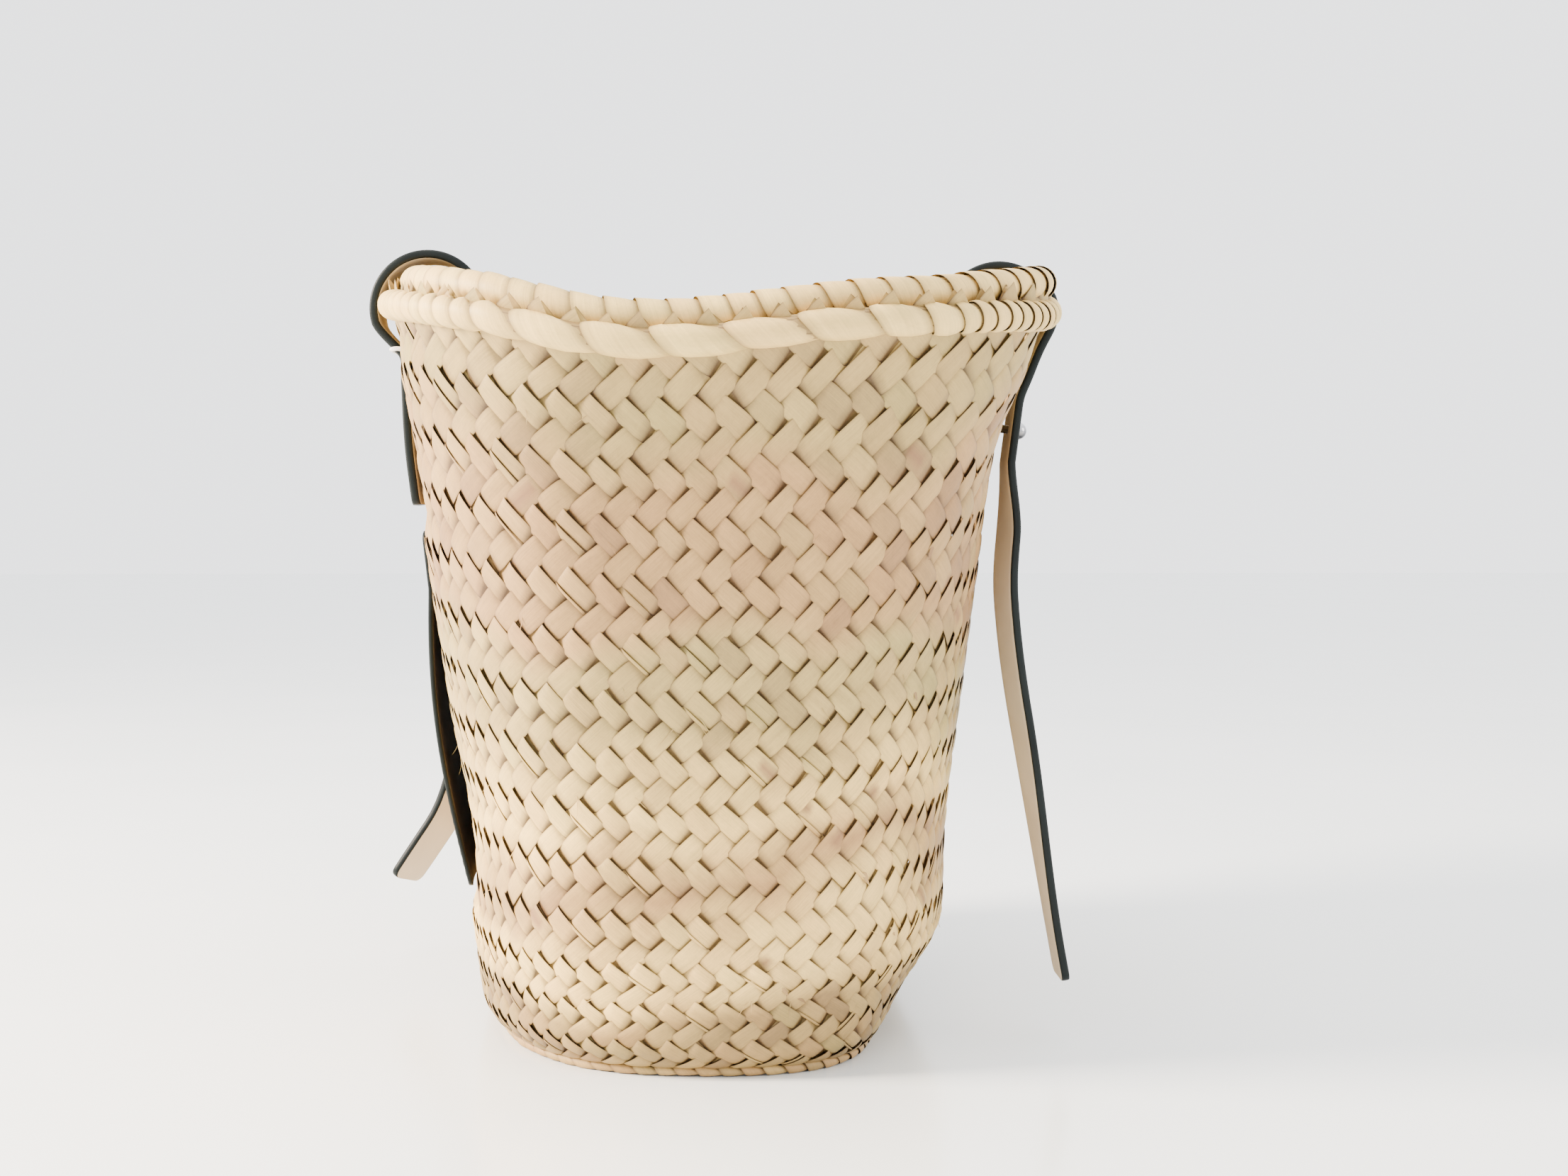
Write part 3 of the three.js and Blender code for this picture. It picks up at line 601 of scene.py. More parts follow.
def stray_strips(name, count, width, length, curl, brown):
    step = np.linspace(0, 1, 7)[None, :, None]
    side = np.array([-0.5, 0.0, 0.5])[None, None, :]
    units, row, sway, drop, rise, tone = (chance.uniform(low, high, (count, 1, 1)) for low, high in (
        (0, STRANDS), (1.5, ROWS - 2), (-0.9, 0.9), (0.5, 1.0), (0.3, 1.0), (0.1, 0.9)))
    face = np.where(chance.uniform(size=(count, 1, 1)) < 0.8, 1, -1)
    taper = width * (1 - 0.75 * step**2)
    units = units + sway * step * length / STRAND_STEP + side * taper / STRAND_STEP
    row = row - drop * step * length / ROW_STEP
    out = face * (1.0 * MM + curl * rise * step**2 + 0.2 * width * (0.25 - side**2))
    points = wall_place(units, row, out)
    numbers = {"tone": tone, "across": 2 * side, "along": length * step + tone, "tuck": 0.0,
               "height": row / ROWS, "scar": brown}
    strips = strip_mesh(name, points, numbers, [wall_palm])
    on_basket(strips, "palm_plait")
    print(name, count)


stray_strips("stray_fibres", 150, 0.45 * MM, 10 * MM, 4 * MM, 0.1)
stray_strips("torn_tongues", 26, 2.6 * MM, 6 * MM, 2.2 * MM, 0.75)

# %% [markdown]
# ## Wrapped rolls
#
# The rim is two bundles of leaf, each wound with a palm ribbon. Every turn of the ribbon laps the one
# before it, so its seam is a small step that climbs round the roll; painted shade darkens each seam and
# each notch. A turn is a short strip bent round the bundle and shifted by one turn's width as it goes,
# which makes the winding one continuous ribbon. Where the lower roll crosses the narrow ends its turns are
# long, like a slack rope. The foot's edge cord is a thin, darker roll of the same kind.

# %% Rolls
def ring_line(level, inset, lift):
    """A closed line round the basket, beside the wall at one level."""
    angle = np.linspace(0, 2 * np.pi, 1440, endpoint=False)
    x, y = plan(angle, level, inset)
    z = level + lift + RIM_RISE * climb_at(level) * np.sin(angle) ** 2
    return by_hand(x, y, z)


def line_frame(line):
    """Length along a closed line, and its point, outward and upward directions at each step."""
    tangent = unit(np.roll(line, -1, axis=0) - np.roll(line, 1, axis=0))
    outward = unit(np.cross(tangent, UP))
    upward = np.cross(outward, tangent)
    frames = np.concatenate([line, outward, upward], axis=1)
    frames = np.concatenate([frames, frames[:1]])
    return run_of(frames[:, :3]), frames


def on_line(length, frames, place):
    wrapped = place % length[-1]
    parts = np.stack([np.interp(wrapped, length, frames[:, i]) for i in range(9)], axis=-1)
    return parts[..., :3], parts[..., 3:6], parts[..., 6:9]


def round_line(length, frames, place, thick, angle):
    """Points round a closed line, at a distance and an angle from it."""
    centre, outward, upward = on_line(length, frames, place)
    return centre + (thick * np.cos(angle))[..., None] * outward + (thick * np.sin(angle))[..., None] * upward


print("way round the rim:", round(run_of(ring_line(WALL_HEIGHT, 0.0, 0.0))[-1], 3), "m")


# %% Windings
RIBBON_STEP, RIBBON_TUCK, BUNDLE_INSET = 0.7 * MM, 0.5 * MM, 0.5 * MM
UNEVEN_TURNS, NOTCH_DEPTH, SLACK_SCALLOP = 0.12 * MM, 0.9 * MM, 1.2


def wound_roll(name, finish, line, radius, turn_width, rope_width, start_angle, notch, scallop):
    """A ribbon wound round a bundle, turn by turn."""
    length, frames = line_frame(line)
    seams, ropes, at = [], [], 0.0
    while at < length[-1]:
        centre = on_line(length, frames, np.array(at))[0]
        rope = float(blend_in(abs(centre[0]) / np.abs(line[:, 0]).max(), 0.95, 0.99))
        seams.append(at)
        ropes.append(rope)
        at += (turn_width + (rope_width - turn_width) * rope) * chance.uniform(0.84, 1.16)
    widths = np.diff(np.append(seams, at)) * length[-1] / at
    seams = np.array(seams) * length[-1] / at
    rope = np.array(ropes)[:, None, None]
    turn = np.linspace(0, 2 * np.pi, 25)[None, :, None]
    lap = np.array([0.0, 0.07, 0.2, 0.5, 0.78, 0.95, 1.12])[None, None, :]
    pinch = hump(np.minimum(turn, 2 * np.pi - turn), 0, 0.75) * notch
    held = 0.5 + (lap - 0.5) * (1 - pinch)
    width, before = widths[:, None, None], np.roll(widths, 1)[:, None, None]
    gone = turn / (2 * np.pi)
    along = seams[:, None, None] - before * gone + held * (width - (width - before) * gone)
    uneven = chance.normal(0, UNEVEN_TURNS, seams.shape)[:, None, None]
    step = RIBBON_STEP * (1 - lap) - RIBBON_TUCK * blend_in(lap, 0.9, 1.12)
    slack = SLACK_SCALLOP if rope_width > 2 * turn_width else scallop
    swell = (scallop + (slack - scallop) * rope) * MM * (np.sin(np.pi * np.clip(lap, 0, 1)) - 0.6)
    thick = radius - BUNDLE_INSET + step + swell + uneven - NOTCH_DEPTH * pinch
    points = round_line(length, frames, along, thick, turn + math.radians(start_angle))
    tone = chance.uniform(0.18, 0.88, seams.shape)[:, None, None]
    # Painted shade along each seam where a turn laps the last, and in the notches; it goes to the finish as
    # tuck.
    seam_shade = 0.5 * (hump(lap, 0, 0.08) + hump(lap, 1, 0.09))
    seam_shade = np.clip(seam_shade + 0.5 * np.minimum(pinch * 2, 1) * np.abs(2 * lap - 1) ** 3, 0, 1)
    numbers = {"tone": tone, "across": np.clip(2 * lap - 1, -1, 1) * 0.92, "along": turn * radius + tone,
               "tuck": seam_shade, "height": 0.5, "scar": 0.0}
    return strip_mesh(name, points, numbers, [finish])


def bundle(name, finish, line, radius):
    """The leaf bundle that shows only in the chinks of a winding."""
    length, frames = line_frame(line)
    place = np.linspace(0, length[-1], 241)[None, :, None]
    angle = np.linspace(0, 2 * np.pi, 10, endpoint=False)[None, None, :]
    points = round_line(length, frames, place, radius, angle)
    # A tuck of 0.75 paints the core dark: painted shade in the chinks of the winding.
    numbers = {"tone": 0.4, "across": np.sin(3 * angle), "along": place, "tuck": 0.75, "height": 0.5,
               "scar": 0.0}
    return strip_mesh(name, points, numbers, [finish], around=True)


print("each turn's edge stands", round(RIBBON_STEP / MM, 1), "mm above the turn before it")

# %% Rim and foot
SEAM_GAP, CORE_INSET, TURN_FACES = 0.3 * MM, 1.1 * MM, 144
CORNER_SHIFT, CORNER_DIP, LOOP_PRESS = np.array([0.0, 8.0 * MM, 1.0 * MM]), 3.0 * MM, 2.0 * MM
CORD_RADIUS, CORD_INSET, CORD_LIFT = 2.1 * MM, 11.0 * MM, 2.4 * MM
upper_radius, lower_radius = 6.5 * MM, 6.0 * MM
roll_pitch = upper_radius + lower_radius + SEAM_GAP
upper_inset, upper_lift = WALL_THICKNESS / 2, SEAM_GAP + upper_radius
lower_inset = -(SEAM_GAP + lower_radius)
lower_lift = upper_lift - math.sqrt(roll_pitch**2 - (upper_inset - lower_inset) ** 2)
lower_line = ring_line(WALL_HEIGHT, lower_inset, lower_lift)
upper_line = ring_line(WALL_HEIGHT, upper_inset, upper_lift)
# The near back corner is pushed out, and the near back strap loop presses the upper roll down
pushed = hump(upper_line[:, 0], 0.165, 0.036) * blend_in(upper_line[:, 1], 0.04, 0.10)
upper_line += pushed[:, None] * CORNER_SHIFT
lower_line[:, 2] -= CORNER_DIP * pushed
under_loop = hump(upper_line[:, 0], 0.09, 0.025) * blend_in(upper_line[:, 1], 0.03, 0.09)
upper_line[:, 2] -= LOOP_PRESS * under_loop
foot_line = ring_line(0.0, CORD_INSET, CORD_LIFT)
for name, nodes, finish, line, radius, *turns in (
        ("rim_upper_winding", ["rim_upper_roll"], rim_palm, upper_line, upper_radius,
         11.0 * MM, 12.0 * MM, -62, 0.14, 0.2),
        ("rim_lower_winding", ["rim_lower_roll"], rim_palm, lower_line, lower_radius,
         8.6 * MM, 25 * MM, 100, 0.45, 0.9),
        ("foot_cord", [], foot_palm, foot_line, CORD_RADIUS, 9 * MM, 9 * MM, 180, 0.1, 0.25)):
    winding = wound_roll(name, finish, line, radius, *turns)
    core = bundle(name + "_core", finish, line, radius - CORE_INSET)
    on_basket(winding, "palm_ribbon", *nodes)
    on_basket(core, "palm_ribbon")
    print(name, len(winding.data.polygons) // TURN_FACES, "turns")

# %% [markdown]
# ## Leather and suede
#
# The straps are one layer of thick leather: a smooth green-black grain side, edges painted the same colour
# and a beige suede back. The three finishes go on one strip by which side of it a face is on. The grain is
# a field of tiny cells and the suede a soft nap, so the first mixes in more cells and is less rough.

# %% Leather finishes
ACROSS_UNIT = 0.013  # metres for 1 across: half a strap's width


def leather_finish(name, low, high, cells, depth, rough, cell_share=0.5):
    hide = Finish(name)
    along, across = hide.value("along"), hide.value("across")
    place = hide.vector(across * ACROSS_UNIT, along, 0.0)
    pores = hide.node("TexVoronoi", {"feature": "F1"}, {"Vector": place, "Scale": cells}, "Distance")
    fine = hide.noise(place, cells * 2.2, 3.0, 0.7)
    wide = hide.noise(place, 45.0, 3.0)
    height = pores * cell_share + fine * (1 - cell_share)
    colour = hide.ramp(wide * 0.7 + fine * 0.3, (0.3, low), (0.75, high))
    gloss = (wide - 0.5) * 0.22 + (fine - 0.5) * 0.12 + rough
    return hide.surface(Base_Color=colour, Roughness=gloss, Normal=hide.bump(height, depth),
                        Specular_IOR_Level=0.12)


grain = leather_finish("strap_grain", (0.006, 0.009, 0.009), (0.012, 0.017, 0.016), 1500, 0.00008, 0.46)
edge_paint = leather_finish("strap_edge", (0.004, 0.006, 0.006), (0.009, 0.013, 0.013), 700, 0.00004, 0.45,
                            cell_share=0.1)
suede = leather_finish("strap_suede", (0.50, 0.42, 0.31), (0.58, 0.50, 0.38), 1900, 0.00006, 0.92, 0.15)
patch_back = leather_finish("patch_back", (0.060, 0.045, 0.036), (0.10, 0.075, 0.060), 1500, 0.0001, 0.9,
                            cell_share=0.15)
strap_finishes = [grain, edge_paint, suede]
print("leather finishes:", [f.name for f in strap_finishes])

# %% [markdown]
# ## The way a strap goes
#
# Each strap starts tied to the outside of the wall, goes over both rolls in a wide loop and hangs inside as
# the handle. It comes out over the rim again, is held by a stud, and ends in a long loose tail. Its line is
# made of straight runs, rounded corners and arcs, with the CAD model's sizes, and the back strap is the
# front one turned half round. "Out" means metres towards the front, so y is minus out.

# %% Sizes of the straps
STRAP_X, STRAP_WIDTH, STRAP_THICKNESS, STRAP_CORNER = 0.090, 0.026, 3.4 * MM, 4.0 * MM
LOOP_LEAN, LOOP_SAG, LEG_SLANT = 5.0 * MM, 11.0 * MM, math.radians(9)
LEG_STRAIGHT, HANDLE_DROP, TWIST_SHARE = 0.030, 0.215, 0.75
STUD_HEIGHT, STUD_MARGIN, FIXED_END_HEIGHT = 0.262, 0.014, 0.230
TAIL_BEND, STRAP_BEND = 0.045, 4.0 * MM
# Each tail: drop to its knee, length, lean, twist, and the shares where the twist is full and would be gone
TAILS = {"front": (0.160, 0.218, 34.0, 37.0, 1.0, 2.0), "back": (0.070, 0.223, 10.4, -9.5, 0.14, 0.9)}
TIE_HEIGHT, TIE_MARGIN, TIE_RADIUS = 0.2945, 3.0 * MM, 1.0 * MM
half_strap, half_leather = STRAP_WIDTH / 2, STRAP_THICKNESS / 2
inner_edge_x = STRAP_X - half_strap


def across_wall(x, level, inset):
    length, width = half_sizes(level, inset)
    along, power = abs(x) / length, squareness(level)
    share = (1 - along**power) ** (1 / power)
    bow = share**2 / (share**2 + along**2)
    return float(width * share), float(level + RIM_RISE * min(climb_at(level), 1) * bow)


def wall_out(x, z, inset=0.0):
    level = z
    for _ in range(12):
        level += z - across_wall(x, level, inset)[1]
    return across_wall(x, level, inset)[0]


upper_out, upper_z = across_wall(STRAP_X, WALL_HEIGHT, upper_inset)
lower_out, lower_z = across_wall(STRAP_X, WALL_HEIGHT, lower_inset)
edge_out, edge_z = across_wall(inner_edge_x, WALL_HEIGHT, lower_inset)
loop_out, loop_z = upper_out - LOOP_LEAN, upper_z + upper_lift - LOOP_SAG
roll_skew = math.hypot(edge_out - lower_out, edge_z - lower_z)
loop_radius = SEAM_GAP + max(math.hypot(LOOP_LEAN, LOOP_SAG) + upper_radius + roll_skew,
                             edge_out + lower_radius - loop_out)
loop_end = math.pi - LEG_SLANT
print("loop over the rim: radius", round(loop_radius / MM, 2), "mm, centre at", round(loop_z, 4), "m")

# %% Lines and strips
def front(x, out, z):
    return np.array([x, -out, z])


def on_wall(x, z):
    return front(x, wall_out(inner_edge_x, z) + SEAM_GAP + half_leather, z)


def loop_arc(x, first, last, steps):
    radius = loop_radius + half_leather
    return [front(x, loop_out + radius * math.cos(a), loop_z + radius * math.sin(a))
            for a in np.linspace(first, last, steps)]


def rounded_line(corners, round_lengths, spacing=2.5 * MM):
    """Straight runs with each inner corner rounded, as evenly spaced points."""
    line = [corners[0]]
    for before, corner, after, round_length in zip(corners, corners[1:], corners[2:], round_lengths):
        a = corner + (before - corner) * min(round_length / np.linalg.norm(before - corner), 0.45)
        b = corner + (after - corner) * min(round_length / np.linalg.norm(after - corner), 0.45)
        line += [a * (1 - t) ** 2 + corner * 2 * t * (1 - t) + b * t * t for t in np.linspace(0, 1, 9)]
    line = np.array([*line, corners[-1]])
    length = run_of(line)
    even = np.linspace(0, length[-1], max(int(length[-1] / spacing), 4) + 1)
    return np.stack([np.interp(even, length, line[:, i]) for i in range(3)], axis=1)


def line_tangents(line):
    ahead = np.concatenate([line[1:], line[-1:]]) - np.concatenate([line[:1], line[:-1]])
    return unit(ahead)


def upright_faces(tangents):
    return unit(np.cross(tangents, ALONG_BAG))


def section(half_width):
    """One cross-section: grain face, painted edge, suede face, painted edge."""
    soft, low = 1.0 * MM, half_leather
    flat = np.linspace(half_width - soft, soft - half_width, 7)
    edge = [(half_width - 0.3 * MM, low - 0.3 * MM), (half_width, low - soft), (half_width, soft - low),
            (half_width - 0.3 * MM, 0.3 * MM - low)]
    ring = [(w, low) for w in flat] + [(-w, t) for w, t in edge] + [(w, -low) for w in flat[::-1]]
    return np.array(ring + [(w, t) for w, t in edge[::-1]])


STRAP_FINISH_OF = [0] * 6 + [1] * 5 + [2] * 6 + [1] * 5


def strap_strip(name, line, tangents, faces, half_widths, start):
    """A strap along a line, open at both ends."""
    across = unit(np.cross(faces, tangents))
    rings = np.array([section(h) for h in half_widths])
    points = line[:, None] + rings[..., :1] * across[:, None] + rings[..., 1:] * faces[:, None]
    numbers = {"along": (start + run_of(line))[None, :, None], "across": (rings[..., 0] / half_strap)[None]}
    return strip_mesh(name, points[None], numbers, strap_finishes, around=True, finish_of=STRAP_FINISH_OF)


print("a strap section has", len(section(half_strap)), "points")

# %% [markdown]
# ## Straps in stiff lengths
#
# In the CAD model the handle can be lifted: the loop unrolls over the rim until the legs stand straight up.
# The CAD model cuts the loop into stiff lengths with hinges, and here each length is one strip.

# %% Cut ends and outside runs
BLEND_REACH, STUD_OFF_WALL = 8 * MM, 3.3 * MM
split_low, split_high, loop_middle = loop_end / 4, loop_end * 3 / 4, loop_end / 2


def rounded_end(line):
    """Half-widths that narrow over the last few points, so that the cut end has round corners."""
    back = np.linalg.norm(line - line[-1], axis=1)
    into = STRAP_CORNER - np.minimum(back, STRAP_CORNER)
    return half_strap - STRAP_CORNER + np.sqrt(STRAP_CORNER**2 - into**2)


def fine_end(line):
    """Extra points near the end of a line, for its round corners."""
    keep = np.linalg.norm(line - line[-1], axis=1) > STRAP_CORNER
    direction = unit(line[-1] - line[-2])
    extra = [line[-1] - direction * STRAP_CORNER * (1 - math.sin(a)) for a in np.linspace(0, math.pi / 2, 6)]
    return np.concatenate([line[keep], extra])


def cap_end(strip, columns, last=True):
    """Close a strip's cut end with one painted face."""
    mesh = strip.data
    first = len(mesh.vertices) - columns if last else 0
    work = bmesh.new()
    work.from_mesh(mesh)
    work.verts.ensure_lookup_table()
    ring = [work.verts[first + i] for i in range(columns)]
    face = work.faces.new(ring if last else ring[::-1])
    face.material_index = 1
    face.smooth = False
    work.to_mesh(mesh)
    work.free()


def outside_line(x, touch_z, end_z):
    """The run outside: off the loop, in to the place where it meets the wall, then down."""
    arc = loop_arc(x, split_low, -0.1, 12)
    corners = [arc[-1], loop_arc(x, -0.35, -0.35, 1)[0], on_wall(x, touch_z), on_wall(x, end_z)]
    return np.concatenate([np.array(arc[:-1]), rounded_line(corners, (2 * STRAP_BEND, STRAP_BEND), 2 * MM)])


outside = outside_line(STRAP_X, TIE_HEIGHT - TIE_MARGIN, FIXED_END_HEIGHT)
print("outside run of the tied end:", round(run_of(outside)[-1] / MM), "mm")


# %% Strips on each side
LOOP_SINK, LOOP_SLOPE, LOOP_BACK = 2.2 * MM, 2.8 * MM, 1.0 * MM


def turned(points, side):
    return points * np.array([-1.0, -1.0, 1.0]) if side == "back" else points


def leaned(points, off_wall=STUD_OFF_WALL):
    """Strap points moved: the front leans in, one back loop sits low, its stud is off the wall."""
    moved = points.copy()
    x, y, z = np.moveaxis(points, -1, 0)
    near_back = blend_in(y, 0.0, 0.05) * blend_in(x, 0.0, 0.05)
    slack = blend_in(z, 0.312, 0.333) * near_back
    stud_run = blend_in(z, 0.30, 0.275) * blend_in(z, 0.19, 0.245) * near_back
    moved[..., 1] += lean_in(y, z) + off_wall * stud_run - LOOP_BACK * slack
    moved[..., 2] -= (LOOP_SINK + LOOP_SLOPE * np.clip((x - inner_edge_x) / STRAP_WIDTH, 0, 1)) * slack
    return moved


def hang_strap(side, name, nodes, line, start, hinge, way, tangents=None, faces=None, cut_end=False):
    """One strip of a strap on its side of the bag, standing for the CAD nodes that it hides."""
    tangents = line_tangents(line) if tangents is None else tangents
    faces = upright_faces(tangents) if faces is None else faces
    widths = rounded_end(line) if cut_end else np.full(len(line), half_strap)
    line = leaned(turned(line, side))
    strip = strap_strip(f"{side}_{name}", line, turned(tangents, side), turned(faces, side), widths, start)
    if cut_end:
        cap_end(strip, len(STRAP_FINISH_OF))
    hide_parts(*(f"{side}_{node}" for node in nodes))
    hinge, way = turned(hinge, side), turned(unit(way), side)
    hinge - way * BLEND_REACH
    hinge + way * BLEND_REACH
    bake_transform(strip)


def outer_hinge(angle):
    radius = loop_radius + STRAP_THICKNESS
    return front(0.0, loop_out + radius * math.cos(angle), loop_z + radius * math.sin(angle))


print("a bend is shared out over", 2 * BLEND_REACH / MM, "mm")


# %% Both straps
def build_runs(side):
    for end, node, x, touch_z, end_z in (
            ("tied", "tied_end", STRAP_X, TIE_HEIGHT - TIE_MARGIN, FIXED_END_HEIGHT),
            ("studded", "studded_length", -STRAP_X, STUD_HEIGHT + STUD_MARGIN,
             STUD_HEIGHT - STUD_MARGIN / 2)):
        line = outside_line(x, touch_z, end_z)
        line = fine_end(line) if end == "tied" else line
        hang_strap(side, f"{end}_run", [f"lower_fold_{end}", node], line, 0.3,
                   outer_hinge(0.0), UP, cut_end=(end == "tied"))


def build_loops(side):
    for end, x in (("tied", STRAP_X), ("studded", -STRAP_X)):
        line = np.array(loop_arc(x, split_high, split_low, 25))
        hang_strap(side, f"{end}_loop", [f"upper_fold_{end}"], line, 0.25,
                   outer_hinge(loop_middle), TO_BACK)


def build_handle(side):
    top = loop_arc(0.0, loop_end, loop_end, 1)[0]
    down = front(0.0, -math.sin(LEG_SLANT), -math.cos(LEG_SLANT))
    inward = front(0.0, -math.cos(LEG_SLANT), math.sin(LEG_SLANT))
    aside = ALONG_BAG * STRAP_X
    bend = HANDLE_DROP - LEG_STRAIGHT
    turn = np.linspace(0, math.pi, 181)[:, None]
    curve = top + aside * np.cos(turn) + down * (LEG_STRAIGHT + bend * np.sin(turn))
    way = unit(-aside * np.sin(turn) + down * bend * np.cos(turn))
    from_leg = np.minimum(turn, math.pi - turn) / (math.pi / 2)
    twist = blend_in(from_leg, 0, TWIST_SHARE) * math.pi / 2
    face = inward * np.cos(twist) - np.cross(inward, way) * np.sin(twist)
    leg = np.linspace(0, LEG_STRAIGHT, 12, endpoint=False)[:, None]
    arc = loop_arc(0.0, split_high, loop_end, 12)[:-1]
    first = np.concatenate([np.array(arc), top + down * leg]) + aside
    last = (first - 2 * aside)[::-1]
    line = np.concatenate([first, curve, last])
    tangents = line_tangents(line)
    leg_faces = upright_faces(-line_tangents(first))
    faces = np.concatenate([leg_faces, face, leg_faces[::-1]])
    faces = unit(faces - tangents * (faces * tangents).sum(axis=1, keepdims=True))
    hang_strap(side, "handle_strap", ["handle"], line, 0.0,
               outer_hinge(loop_end), down, tangents, faces)


def build_tail(side):
    drop, length, lean, twist, twisted_by, straight_by = TAILS[side]
    top = on_wall(-STRAP_X, STUD_HEIGHT - STUD_MARGIN)
    above = on_wall(-STRAP_X, STUD_HEIGHT - STUD_MARGIN / 2)
    knee = top - UP * drop
    lean = math.radians(lean)
    end = knee + front(0.0, math.sin(lean), -math.cos(lean)) * (length - drop)
    hanging = fine_end(rounded_line([top, knee, end], (TAIL_BEND,)))
    line = np.concatenate([np.linspace(above, top, 4, endpoint=False), hanging])
    tangents = line_tangents(line)
    share = np.concatenate([np.zeros(4), np.linspace(0, 1, len(hanging))])
    angle = math.radians(twist) * blend_in(share, 0, twisted_by) * blend_in(share, straight_by, 0.45)
    angle = angle[:, None]
    faces = upright_faces(tangents)
    line = line + faces * half_strap * np.sin(np.maximum(-angle, 0))
    faces = faces * np.cos(angle) + np.cross(tangents, faces) * np.sin(angle)
    hang_strap(side, "tail_strap", ["tail"], line, 0.4, top, -UP,
               tangents, faces, cut_end=True)


for side in ("front", "back"):
    build_runs(side)
    build_loops(side)
    build_handle(side)
    build_tail(side)

# %% [markdown]
# ## Studs, caps and ties
#
# A domed stud holds each loose end, its post goes through strap and wall, and a flat cap closes it inside.
# Turned metal is a profile spun round an axis. At the other end a white cotton cord goes round the strap
# and through the wall. Cord is laid from plies, so its section has lobes that turn as it runs.

# %% Metal and cotton
steel = Finish("stud_steel")
steel_place = steel.node("TexCoord", {}, {}, "Object")
scratches = steel.noise(steel_place, 900.0, 4.0, 0.7)
haze = steel.noise(steel_place, 260.0, 2.0)
# Painted light: the steel is lighter where it faces up and darker where it faces down, standing in for the
# room it reflects.
upward = steel.node("SeparateXYZ", {}, {0: steel.node("TexCoord", {}, {}, "Normal")}, "Z")
painted_top_light = (upward * 0.5 + haze * 0.3 + 0.35).clipped()
silver_with_painted_light = steel.ramp(painted_top_light, (0.15, (0.05, 0.05, 0.055)), (0.85, (0.55, 0.55, 0.56)))
steel.surface(Base_Color=silver_with_painted_light, Metallic=1.0,
              Roughness=scratches * 0.16 + 0.08, Normal=steel.bump(scratches, 0.000015))


def thread_finish(name, low, high):
    thread = Finish(name)
    ply, along = thread.value("across"), thread.value("along")
    lint = thread.noise(thread.vector(ply * 2, along * 2600, 0.0), 1.0, 3.0, 0.7)
    # The plies' lobes feed the colour: painted shade, darker in the grooves between plies.
    return thread.surface(Base_Color=thread.ramp(lint + ply * 0.2, (0.25, low), (0.75, high)),
                          Roughness=lint * 0.1 + 0.8, Normal=thread.bump(lint, 0.0001))


cotton = thread_finish("tie_cotton", (0.66, 0.63, 0.57), (0.90, 0.88, 0.84))
dark_thread = thread_finish("patch_thread", (0.012, 0.015, 0.014), (0.035, 0.042, 0.040))
print("finishes:", steel.material.name, cotton.name, dark_thread.name)

# %% Studs
INSIDE_CLEARANCE, CAP_RADIUS = 0.35 * MM, 4.5 * MM
stud_seat = on_wall(-STRAP_X, STUD_HEIGHT)
stud_run = unit(on_wall(-STRAP_X, STUD_HEIGHT - STUD_MARGIN) - on_wall(-STRAP_X, STUD_HEIGHT + STUD_MARGIN))
stud_axis = unit(np.cross(stud_run, ALONG_BAG))
grain_seat = stud_seat + stud_axis * half_leather
cap_inside = wall_out(STRAP_X + CAP_RADIUS, STUD_HEIGHT - CAP_RADIUS, WALL_THICKNESS)
grip = half_leather + (-stud_seat[1] - cap_inside) / -stud_axis[1] + INSIDE_CLEARANCE


def spun(name, profile, side, node):
    """A turned piece: (radius, distance along the stud) points spun round the stud's axis."""
    profile = np.array(profile) * MM
    angle = np.linspace(0, 2 * np.pi, 36, endpoint=False)
    rings = np.cos(angle)[:, None] * ALONG_BAG + np.sin(angle)[:, None] * np.cross(stud_axis, ALONG_BAG)
    points = grain_seat + profile[:, None, 1:] * stud_axis + profile[:, None, :1] * rings[None]
    points = leaned(turned(points, side), 0.0 if "cap" in name else STUD_OFF_WALL)
    piece = strip_mesh(name, points[None], {}, [steel.material], around=True)
    on_basket(piece, "stud_metal", node)


# Profiles in millimetres: the distance from the axis, then along it from the strap's grain
CAP_HEIGHT, TIP_PAST_CAP = 1.6, 0.6
dome = [(3.75 * math.cos(a), 0.85 + 3.75 * math.sin(a)) for a in np.linspace(0, math.pi / 2 - 0.001, 10)]
seat = -(grip / MM + 0.3)
cap_end_at = seat - CAP_HEIGHT
tip = cap_end_at - TIP_PAST_CAP
stud_profile = [(0.001, tip), (1.5, tip), (1.8, tip + 0.3), (1.8, 0.3), (3.4, 0.3), (3.7, 0.42), (3.82, 0.6),
                *dome]
cap_profile = [(2.1, cap_end_at), (3.9, cap_end_at), (4.3, seat - 1.4), (4.5, seat - 1.0), (4.5, seat),
               (2.1, seat), (2.1, cap_end_at)]
for side in ("front", "back"):
    spun(f"{side}_stud_turned", stud_profile, side, f"{side}_stud")
    spun(f"{side}_cap_turned", cap_profile, side, f"{side}_stud_cap")
print("stud grip:", round(grip / MM, 2), "mm")

# %% Ties
def cord_strip(name, line, radius, plies, lay, finish):
    """A closed loop of laid cord."""
    length, frames = line_frame(line)
    place = np.linspace(0, length[-1], int(length[-1] / (0.45 * MM)))[None, :, None]
    angle = np.linspace(0, 2 * np.pi, 12, endpoint=False)[None, None, :]
    lobes = np.cos(plies * angle - 2 * np.pi * place / lay)
    points = round_line(length, frames, place, radius * (0.90 + 0.10 * lobes), angle)
    return strip_mesh(name, points, {"across": lobes, "along": place}, [finish], around=True)


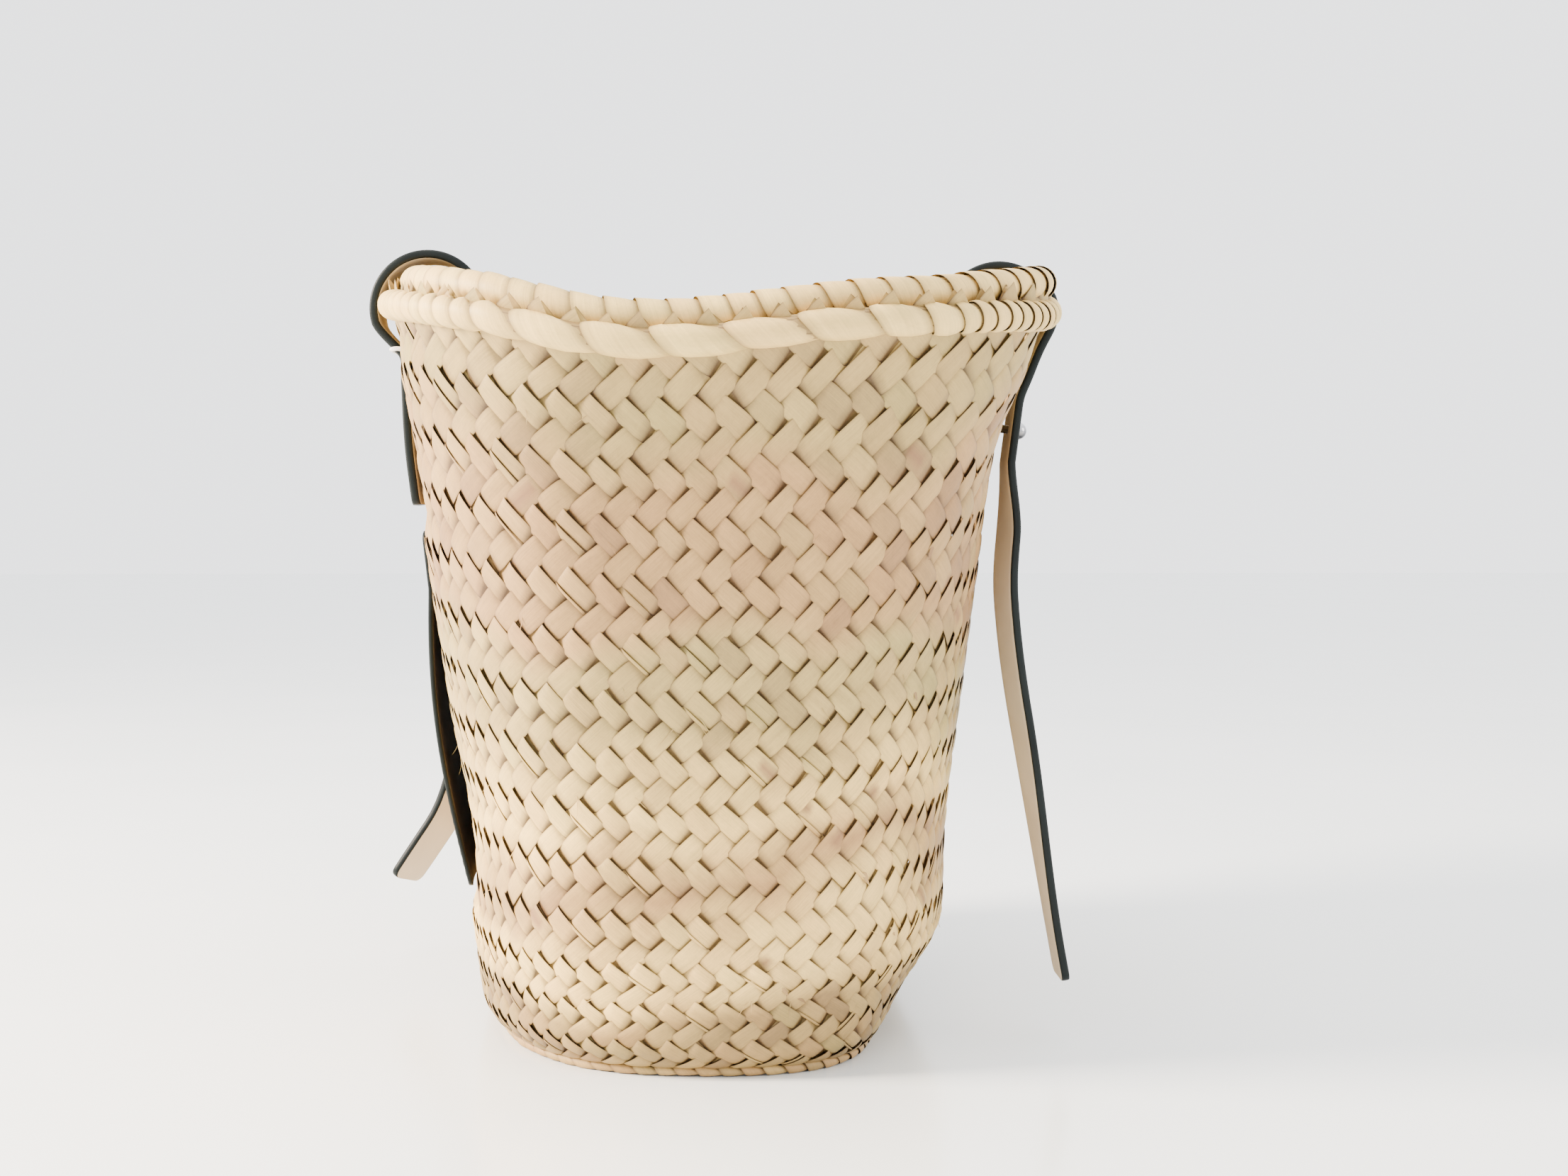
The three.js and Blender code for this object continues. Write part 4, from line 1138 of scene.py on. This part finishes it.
tie_at = int(np.argmin(np.abs(outside[:, 2] - TIE_HEIGHT)))
tie_steep = -line_tangents(outside)[tie_at][2]
tie_front = -outside[tie_at][1] + half_leather / tie_steep + TIE_RADIUS
beside = half_strap + SEAM_GAP + TIE_RADIUS
low_x, high_x = STRAP_X - beside, STRAP_X + beside
low_in, high_in = (wall_out(x, TIE_HEIGHT, WALL_THICKNESS) - INSIDE_CLEARANCE - SEAM_GAP - TIE_RADIUS
                   for x in (low_x, high_x))
tie_corners = [front(x, out, TIE_HEIGHT) for x, out in (
    (STRAP_X, tie_front), (high_x, tie_front), (high_x, high_in), (low_x, low_in), (low_x, tie_front),
    (STRAP_X, tie_front))]
tie_line = rounded_line(tie_corners, [3 * MM] * 4, 0.8 * MM)[:-1]
for side in ("front", "back"):
    tie = cord_strip(f"{side}_tie_cord", leaned(turned(tie_line, side)), TIE_RADIUS, 3, 4.2 * MM, cotton)
    on_basket(tie, "tie_cord", f"{side}_tie")
print("tie goes round", round(2 * beside / MM, 1), "mm of strap")

# %% [markdown]
# ## The patch
#
# A leather sheet is sewn to the front, and it bows off the wall between its top and bottom. It is bare. The
# sheet is a strip like the straps, wider and thinner, that follows the wall at every height. Its stitches
# are short lengths of thread, each sunk into the leather at both ends.

# %% Patch
PATCH_WIDTH, PATCH_BOTTOM, PATCH_TOP = 0.120, 0.062, 0.219
PATCH_THICKNESS, PATCH_BULGE, PATCH_CORNER = 2 * MM, 8 * MM, 5 * MM
patch_height = PATCH_TOP - PATCH_BOTTOM


def patch_out(x, z, depth):
    bow = PATCH_BULGE * math.sin(math.pi * (z - PATCH_BOTTOM) / patch_height)
    return front(x, wall_out(x, z) + SEAM_GAP + max(bow, front_swell(x, z)) + depth, z)


def patch_half_width(z):
    into = PATCH_CORNER - min(z - PATCH_BOTTOM, PATCH_TOP - z, PATCH_CORNER)
    return PATCH_WIDTH / 2 - PATCH_CORNER + math.sqrt(max(PATCH_CORNER**2 - into**2, 0))


corner_rows = PATCH_CORNER * (1 - np.cos(np.linspace(0, math.pi / 2, 6)))
patch_rows = np.concatenate([PATCH_BOTTOM + corner_rows,
                             np.linspace(PATCH_BOTTOM + PATCH_CORNER, PATCH_TOP - PATCH_CORNER, 44)[1:-1],
                             PATCH_TOP - corner_rows[::-1]])
patch_columns = np.linspace(-1, 1, 31)
soft_edge = 0.5 * MM
rings = []
for z in patch_rows:
    half = patch_half_width(z)
    flat = patch_columns * (half - soft_edge)
    ring = [*((x, 0.0) for x in flat), (half, 0.25), (half, 0.75),
            *((x, 1.0) for x in flat[::-1]), (-half, 0.75), (-half, 0.25)]
    rings.append([patch_out(x, z, PATCH_THICKNESS * share) for x, share in ring])
patch_points = np.array(rings)[None]
patch_finish_of = [2] * 30 + [1] * 3 + [0] * 30 + [1] * 3
patch_numbers = {"along": patch_points[..., 2], "across": patch_points[..., 0] / ACROSS_UNIT}
patch = strip_mesh("front_patch_leather", patch_points, patch_numbers, [grain, edge_paint, patch_back],
                   around=True, finish_of=patch_finish_of)
for last in (True, False):
    cap_end(patch, len(patch_finish_of), last)
on_basket(patch, "strap_leather", "front_patch")
print("patch:", len(patch.data.polygons), "faces")

# %% Patch stitches
STITCH_INSET, STITCH_PITCH, STITCH_LENGTH, THREAD_RADIUS = 4.0 * MM, 4.4 * MM, 3.1 * MM, 0.30 * MM
sew_x = PATCH_WIDTH / 2 - STITCH_INSET
sew_low, sew_high = PATCH_BOTTOM + STITCH_INSET, PATCH_TOP - STITCH_INSET
sew_corners = np.array([[-sew_x, sew_low], [sew_x, sew_low], [sew_x, sew_high], [-sew_x, sew_high]])
stitch_rings = []
for start, stop in zip(sew_corners, np.roll(sew_corners, -1, axis=0)):
    side_length = np.linalg.norm(stop - start)
    way = (stop - start) / side_length
    beside_way = np.array([-way[1], way[0]])
    for at in np.linspace(0, side_length, int(side_length / STITCH_PITCH), endpoint=False):
        rings = []
        for share in np.linspace(0.02, 0.98, 6):
            round_end = math.sqrt(1 - (2 * share - 1) ** 4)
            place = start + way * (at + share * STITCH_LENGTH)
            rings.append([patch_out(*(place + beside_way * THREAD_RADIUS * round_end * math.cos(a)),
                                    PATCH_THICKNESS + THREAD_RADIUS * round_end * (math.sin(a) - 0.1))
                          for a in np.linspace(0, 2 * math.pi, 6, endpoint=False)])
        stitch_rings.append(rings)
stitch_points = np.array(stitch_rings)
stitch_numbers = {"across": np.linspace(-1, 1, 6)[None, None, :],
                  "along": np.linspace(0, 0.003, 6)[None, :, None]}
stitches = strip_mesh("patch_stitches", stitch_points, stitch_numbers, [dark_thread], around=True)
on_basket(stitches, "strap_leather")
print("stitches:", len(stitch_points))
